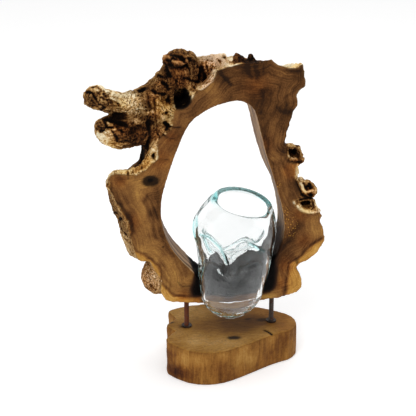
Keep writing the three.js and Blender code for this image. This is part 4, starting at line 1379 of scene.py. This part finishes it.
def threadedRod(node, name):
    low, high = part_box(node)
    middle = (low + high) / 2
    rings = int((high.z - low.z) * 1000 / rods["pitch"] * rods["ringsPerTurn"])
    sides = rods["sides"]
    points, faces = [], []
    for k in range(rings + 1):
        z = low.z * 1000 + (high.z - low.z) * 1000 * k / rings
        ends = min(k, rings - k) / rods["ringsPerTurn"]
        for i in range(sides):
            turn = i / sides
            phase = (z / rods["pitch"] - turn) % 1
            radius = rods["radius"] - rods["cut"] * abs(2 * phase - 1) - rods["endTaper"] * max(0, 1 - ends)
            x = middle.x + radius * math.cos(2 * math.pi * turn) / 1000
            y = middle.y + radius * math.sin(2 * math.pi * turn) / 1000
            points.append((x, y, z / 1000))
    for k in range(rings):
        for i in range(sides):
            a, b = k * sides + i, k * sides + (i + 1) % sides
            faces.append((a, b, b + sides, a + sides))
    faces.append(tuple(range(sides - 1, -1, -1)))
    faces.append(tuple(rings * sides + i for i in range(sides)))
    mesh = bpy.data.meshes.new(name)
    mesh.from_pydata(points, [], faces)
    for face in mesh.polygons:
        face.use_smooth = len(face.vertices) == 4
    piece = bpy.data.objects.new(name, mesh)
    bpy.context.collection.objects.link(piece)
    return piece


def rustFinish(name, steel, rust, share):
    finish, tree = newFinish(name)
    place, _ = objectPlace(tree)
    patches = grain(tree, place, 260, 5, 0.65)
    fine = grain(tree, place, 1400, 3)
    rusty = between(tree, patches, 0.62 - share * 0.4, 0.78 - share * 0.3)
    colour = blend(tree, rusty, paint(*steel), paint(*rust))
    colour = blend(tree, times(tree, between(tree, fine, 0.5, 0.7), 0.5), colour, paint(*rods["grime"]))
    shader = put(tree, "ShaderNodeBsdfPrincipled", {
        "Base Color": colour,
        "Metallic": between(tree, rusty, 0.0, 1.0, 0.85, 0.1),
        "Roughness": between(tree, rusty, 0.0, 1.0, 0.42, 0.85),
    })
    finishWith(tree, shader, plus(tree, patches, times(tree, fine, 0.4)), 0.5, 0.0003)
    return finish


leftRust = rustFinish("rustedRod", *rods["leftRod"])
rightRust = rustFinish("darkRod", *rods["rightRod"])
darkSteel = rustFinish("darkSteel", *rods["darkSteel"])
for side, rust in (("left", leftRust), ("right", rightRust)):
    dress(threadedRod(f"{side}_post", f"{side}Rod"), "stand", rust, "rusty_steel", f"{side}_post")
    for node in (f"{side}_washer", f"{side}_plate", f"{side}_nut"):
        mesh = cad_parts[node].data
        mesh.materials.clear()
        mesh.materials.append(darkSteel)
print("rods threaded")


# Glass vase
glassVase = {
    "voxel": 0.0012,
    "rounds": 40,
    "bodyRounds": 36,
    "foldRounds": 180,
    "tint": (0.55, 0.9, 0.9, 1.0),
    "density": 8.0,
    "clear": (1.0, 1.0, 1.0, 1.0),
    "turquoise": (0.27, 0.76, 0.76, 1.0),
    # the middle of the mouth and the way it faces
    "mouth": (15, 0, 199.7),
    "facing": (0.187, -0.103, 0.977),
    # the body lies above a height and below the lip, and the fold over the wood between these places
    "bodyFoot": (140, 154),
    "bodyTop": (-9, -4),
    "foldFront": (-42, -36),
    "foldBack": (-8, 4),
    "foldFoot": (100, 112),
    "foldSides": (34, 42),
    # how deep the thick lip is, and where it is thick: at the sides and not at the front
    "lipDepth": (-3.6, -1.0),
    "lipSides": (18, 32),
    "lipFront": (-4, 12),
    # below this the glass is one of the lobes
    "lobeTop": (146, 160),
    # the left shoulder: middle, half sizes and how far it hangs out
    "shoulder": (-42, -12, 172),
    "shoulderSize": (16, 18, 15),
    "shoulderOut": 2.2,
    # folds of thick, turquoise glass: points, half width, amount, height
    "folds": [
        ([(-42, 8, 184), (-44, -6, 178), (-45, -13, 172), (-42, -21, 165)], 4.2, 1.0, 0.8),
        ([(-38, -23, 174), (-31, -32, 175), (-26, -39, 172), (-20, -45, 167), (-16, -52, 159),
          (-14, -56, 152)], 1.8, 0.9, 0.7),
        ([(-35, -29, 172), (-33, -35, 165), (-29, -40, 160)], 1.8, 0.8, 0.5),
        ([(-16, -48, 165), (-3, -48, 172), (6, -47, 175), (12, -47, 173), (16, -49, 168)], 1.2, 0.35, 0.4),
        ([(14, -48, 170), (22, -49, 165), (30, -48, 159)], 2.0, 0.9, 0.6),
    ],
}


def blowGlass():
    g = glassVase
    piece = fineCopy("glass_vase", "glassVase", g["voxel"])
    mesh = piece.data
    points, edges = pointsOf(mesh), edgesOf(mesh)
    # smoothing in and out again takes the corners off and keeps the walls' thickness
    points = spread(points, edges, g["rounds"], inAndOut)
    height = (points - np.array(g["mouth"])) @ np.array(g["facing"])
    # the body was blown smooth, and the glass ran softly over the front edge of the wood
    x, y, z = points.T.copy()
    body = soft(z, *g["bodyFoot"]) * (1 - soft(height, *g["bodyTop"]))
    fold = soft(y, *g["foldFront"]) * (1 - soft(y, *g["foldBack"])) * soft(z, *g["foldFoot"])
    fold *= 1 - soft(np.abs(x), *g["foldSides"])
    points = spread(points, edges, g["bodyRounds"], hold=np.maximum(body, fold))
    points = spread(points, edges, g["foldRounds"], hold=fold)
    # the left shoulder hangs out over the charred wood
    points[:, 0] -= g["shoulderOut"] * np.exp(-egg(points, g["shoulder"], g["shoulderSize"]) ** 2)
    movePoints(mesh, points)
    normals = normalsOf(mesh)
    # the glass is thick along its lip, most at both sides of the mouth, and in its folds
    lip = soft(height, *g["lipDepth"])
    sides = soft(np.abs(points[:, 0] - g["mouth"][0]), *g["lipSides"])
    thick = lip * (0.15 + 0.85 * sides) * (1 - 0.92 * soft(-points[:, 1], *g["lipFront"]))
    for line, half, amount, rise in g["folds"]:
        near = np.exp(-(reach(points, line) / half) ** 2)
        thick = np.maximum(thick, amount * near)
        points += normals * (rise * near)[:, None]
    keepShare(mesh, "thick", thick)
    keepValue(mesh, "lobe", 1 - soft(points[:, 2], *g["lobeTop"]))
    movePoints(mesh, points)
    return piece


def glassFinish():
    finish, tree = newFinish("clearGlass")
    g = glassVase
    turquoise = blend(tree, kept(tree, "thick"), g["clear"], g["turquoise"])
    shader = put(tree, "ShaderNodeBsdfPrincipled", {"Base Color": turquoise})
    shader.inputs["Roughness"].default_value = 0.0
    shader.inputs["IOR"].default_value = 1.45
    shader.inputs["Transmission Weight"].default_value = 1.0
    _, spot = objectPlace(tree)
    # long, drawn streaks, stronger in the lobes that hang over the wood
    streaks = grain(tree, joined(tree, (spot[0], 130), (spot[1], 130), (spot[2], 16)), 1.0, 2)
    streaks = times(tree, streaks, between(tree, kept(tree, "lobe"), 0.0, 1.0, 0.25, 3.0))
    out = finishWith(tree, shader, streaks, 0.3, 0.0006)
    tint = put(tree, "ShaderNodeVolumeAbsorption")
    tint.inputs["Color"].default_value = g["tint"]
    tint.inputs["Density"].default_value = g["density"]
    tree.links.new(tint.outputs[0], out.inputs["Volume"])
    return finish


dress(blowGlass(), "vase", glassFinish(), "clear_glass", "glass_vase")
print("glass blown")


# Floor, light and the real camera
studio = {
    "floorSize": 12.0,
    "floorColour": (0.86, 0.86, 0.86, 1.0),
    "mirroredFloor": (0.4, 0.4, 0.4, 1.0),
    "floorLift": 0.3,
    "skyDiffuse": 0.55,
    "skyAhead": 0.45,  # how much darker the sky ahead of the vase is in reflections
    "aim": (0, 0, 0.2),
    # soft lamps: place, size, power
    "key": ((-0.9, -1.6, 1.9), 1.2, 26.0),
    "top": ((0.3, 0.2, 2.2), 1.6, 16.0),
    "bounces": 32,
}


def seenBy(tree, glassShare):
    # 1 for what the camera sees straight, and a share of it for what it sees in or through glass and metal
    path = put(tree, "ShaderNodeLightPath").outputs
    glassy = maths(tree, "MAXIMUM", path["Is Glossy Ray"], path["Is Transmission Ray"])
    return maths(tree, "MAXIMUM", path["Is Camera Ray"], times(tree, glassy, glassShare))


def mirroredAhead(tree, ahead):
    # The studio is darker ahead of the vase, where only reflections show it
    mirrored = maths(tree, "MINIMUM", put(tree, "ShaderNodeLightPath").outputs["Glossy Depth"], 1.0)
    return times(tree, mirrored, ahead)


def makeFloor():
    half = studio["floorSize"] / 2
    mesh = bpy.data.meshes.new("floor")
    corners = [(-half, -half, 0), (half, -half, 0), (half, half, 0), (-half, half, 0)]
    mesh.from_pydata(corners, [], [(0, 1, 2, 3)])
    floor = bpy.data.objects.new("floor", mesh)
    bpy.context.collection.objects.link(floor)
    finish, tree = newFinish("paleFloor")
    _, spot = objectPlace(tree)
    ahead = between(tree, spot[1], -0.3, -0.1, 1.0, 0.0)
    ahead = times(tree, ahead, between(tree, maths(tree, "ABSOLUTE", spot[0]), 0.04, 0.34, 1.0, 0.0))
    shade = blend(tree, mirroredAhead(tree, ahead), studio["floorColour"], studio["mirroredFloor"])
    matt = put(tree, "ShaderNodeBsdfDiffuse", {"Color": shade})
    strength = times(tree, seenBy(tree, 0.9), studio["floorLift"])
    lift = put(tree, "ShaderNodeEmission", {"Strength": strength})
    both = put(tree, "ShaderNodeAddShader")
    tree.links.new(matt.outputs[0], both.inputs[0])
    tree.links.new(lift.outputs[0], both.inputs[1])
    finishWith(tree, both)
    mesh.materials.append(finish)


def makeWorld():
    world = bpy.data.worlds.new("studio")
    world.use_nodes = True
    tree = world.node_tree
    tree.nodes.clear()
    diffuse = studio["skyDiffuse"]
    strength = plus(tree, times(tree, seenBy(tree, 0.95), 1 - diffuse), diffuse)
    generated = put(tree, "ShaderNodeTexCoord").outputs["Generated"]
    way = put(tree, "ShaderNodeSeparateXYZ", {0: generated}).outputs
    shaded = mirroredAhead(tree, between(tree, way[1], -0.7, -0.2, studio["skyAhead"], 0.0))
    strength = times(tree, strength, minus(tree, 1.0, shaded))
    sky = put(tree, "ShaderNodeBackground", {"Color": (1, 1, 1, 1), "Strength": strength})
    tree.links.new(sky.outputs[0], put(tree, "ShaderNodeOutputWorld").inputs["Surface"])
    bpy.context.scene.world = world


def softBox(name, place, size, power):
    lamp = bpy.data.lights.new(name, "AREA")
    lamp.size = size
    lamp.energy = power
    lampObject = bpy.data.objects.new(name, lamp)
    lampObject.location = place
    lampObject.visible_glossy = False
    lampObject.visible_transmission = False
    aim = np.array(studio["aim"]) - np.array(place)
    flatLength = math.hypot(aim[0], aim[1])
    lampObject.rotation_euler = (math.atan2(flatLength, -aim[2]), 0, math.atan2(-aim[0], aim[1]))
    bpy.context.collection.objects.link(lampObject)


def standCamera():
    lens = bpy.data.cameras.new("camera")
    lens.lens = camera["lens"]
    lens.sensor_width = camera["sensor"]
    cameraObject = bpy.data.objects.new("camera", lens)
    cameraObject.location = camera["place"]
    cameraObject.rotation_euler = [math.radians(turn) for turn in camera["turn"]]
    bpy.context.collection.objects.link(cameraObject)
    bpy.context.scene.camera = cameraObject


makeFloor()
makeWorld()
for lampName in ("key", "top"):
    softBox(lampName, *studio[lampName])
standCamera()
bpy.context.scene.view_settings.view_transform = "Standard"
paths = bpy.context.scene.cycles
paths.max_bounces = studio["bounces"]
paths.glossy_bounces = studio["bounces"]
paths.transmission_bounces = studio["bounces"]
print("studio ready")
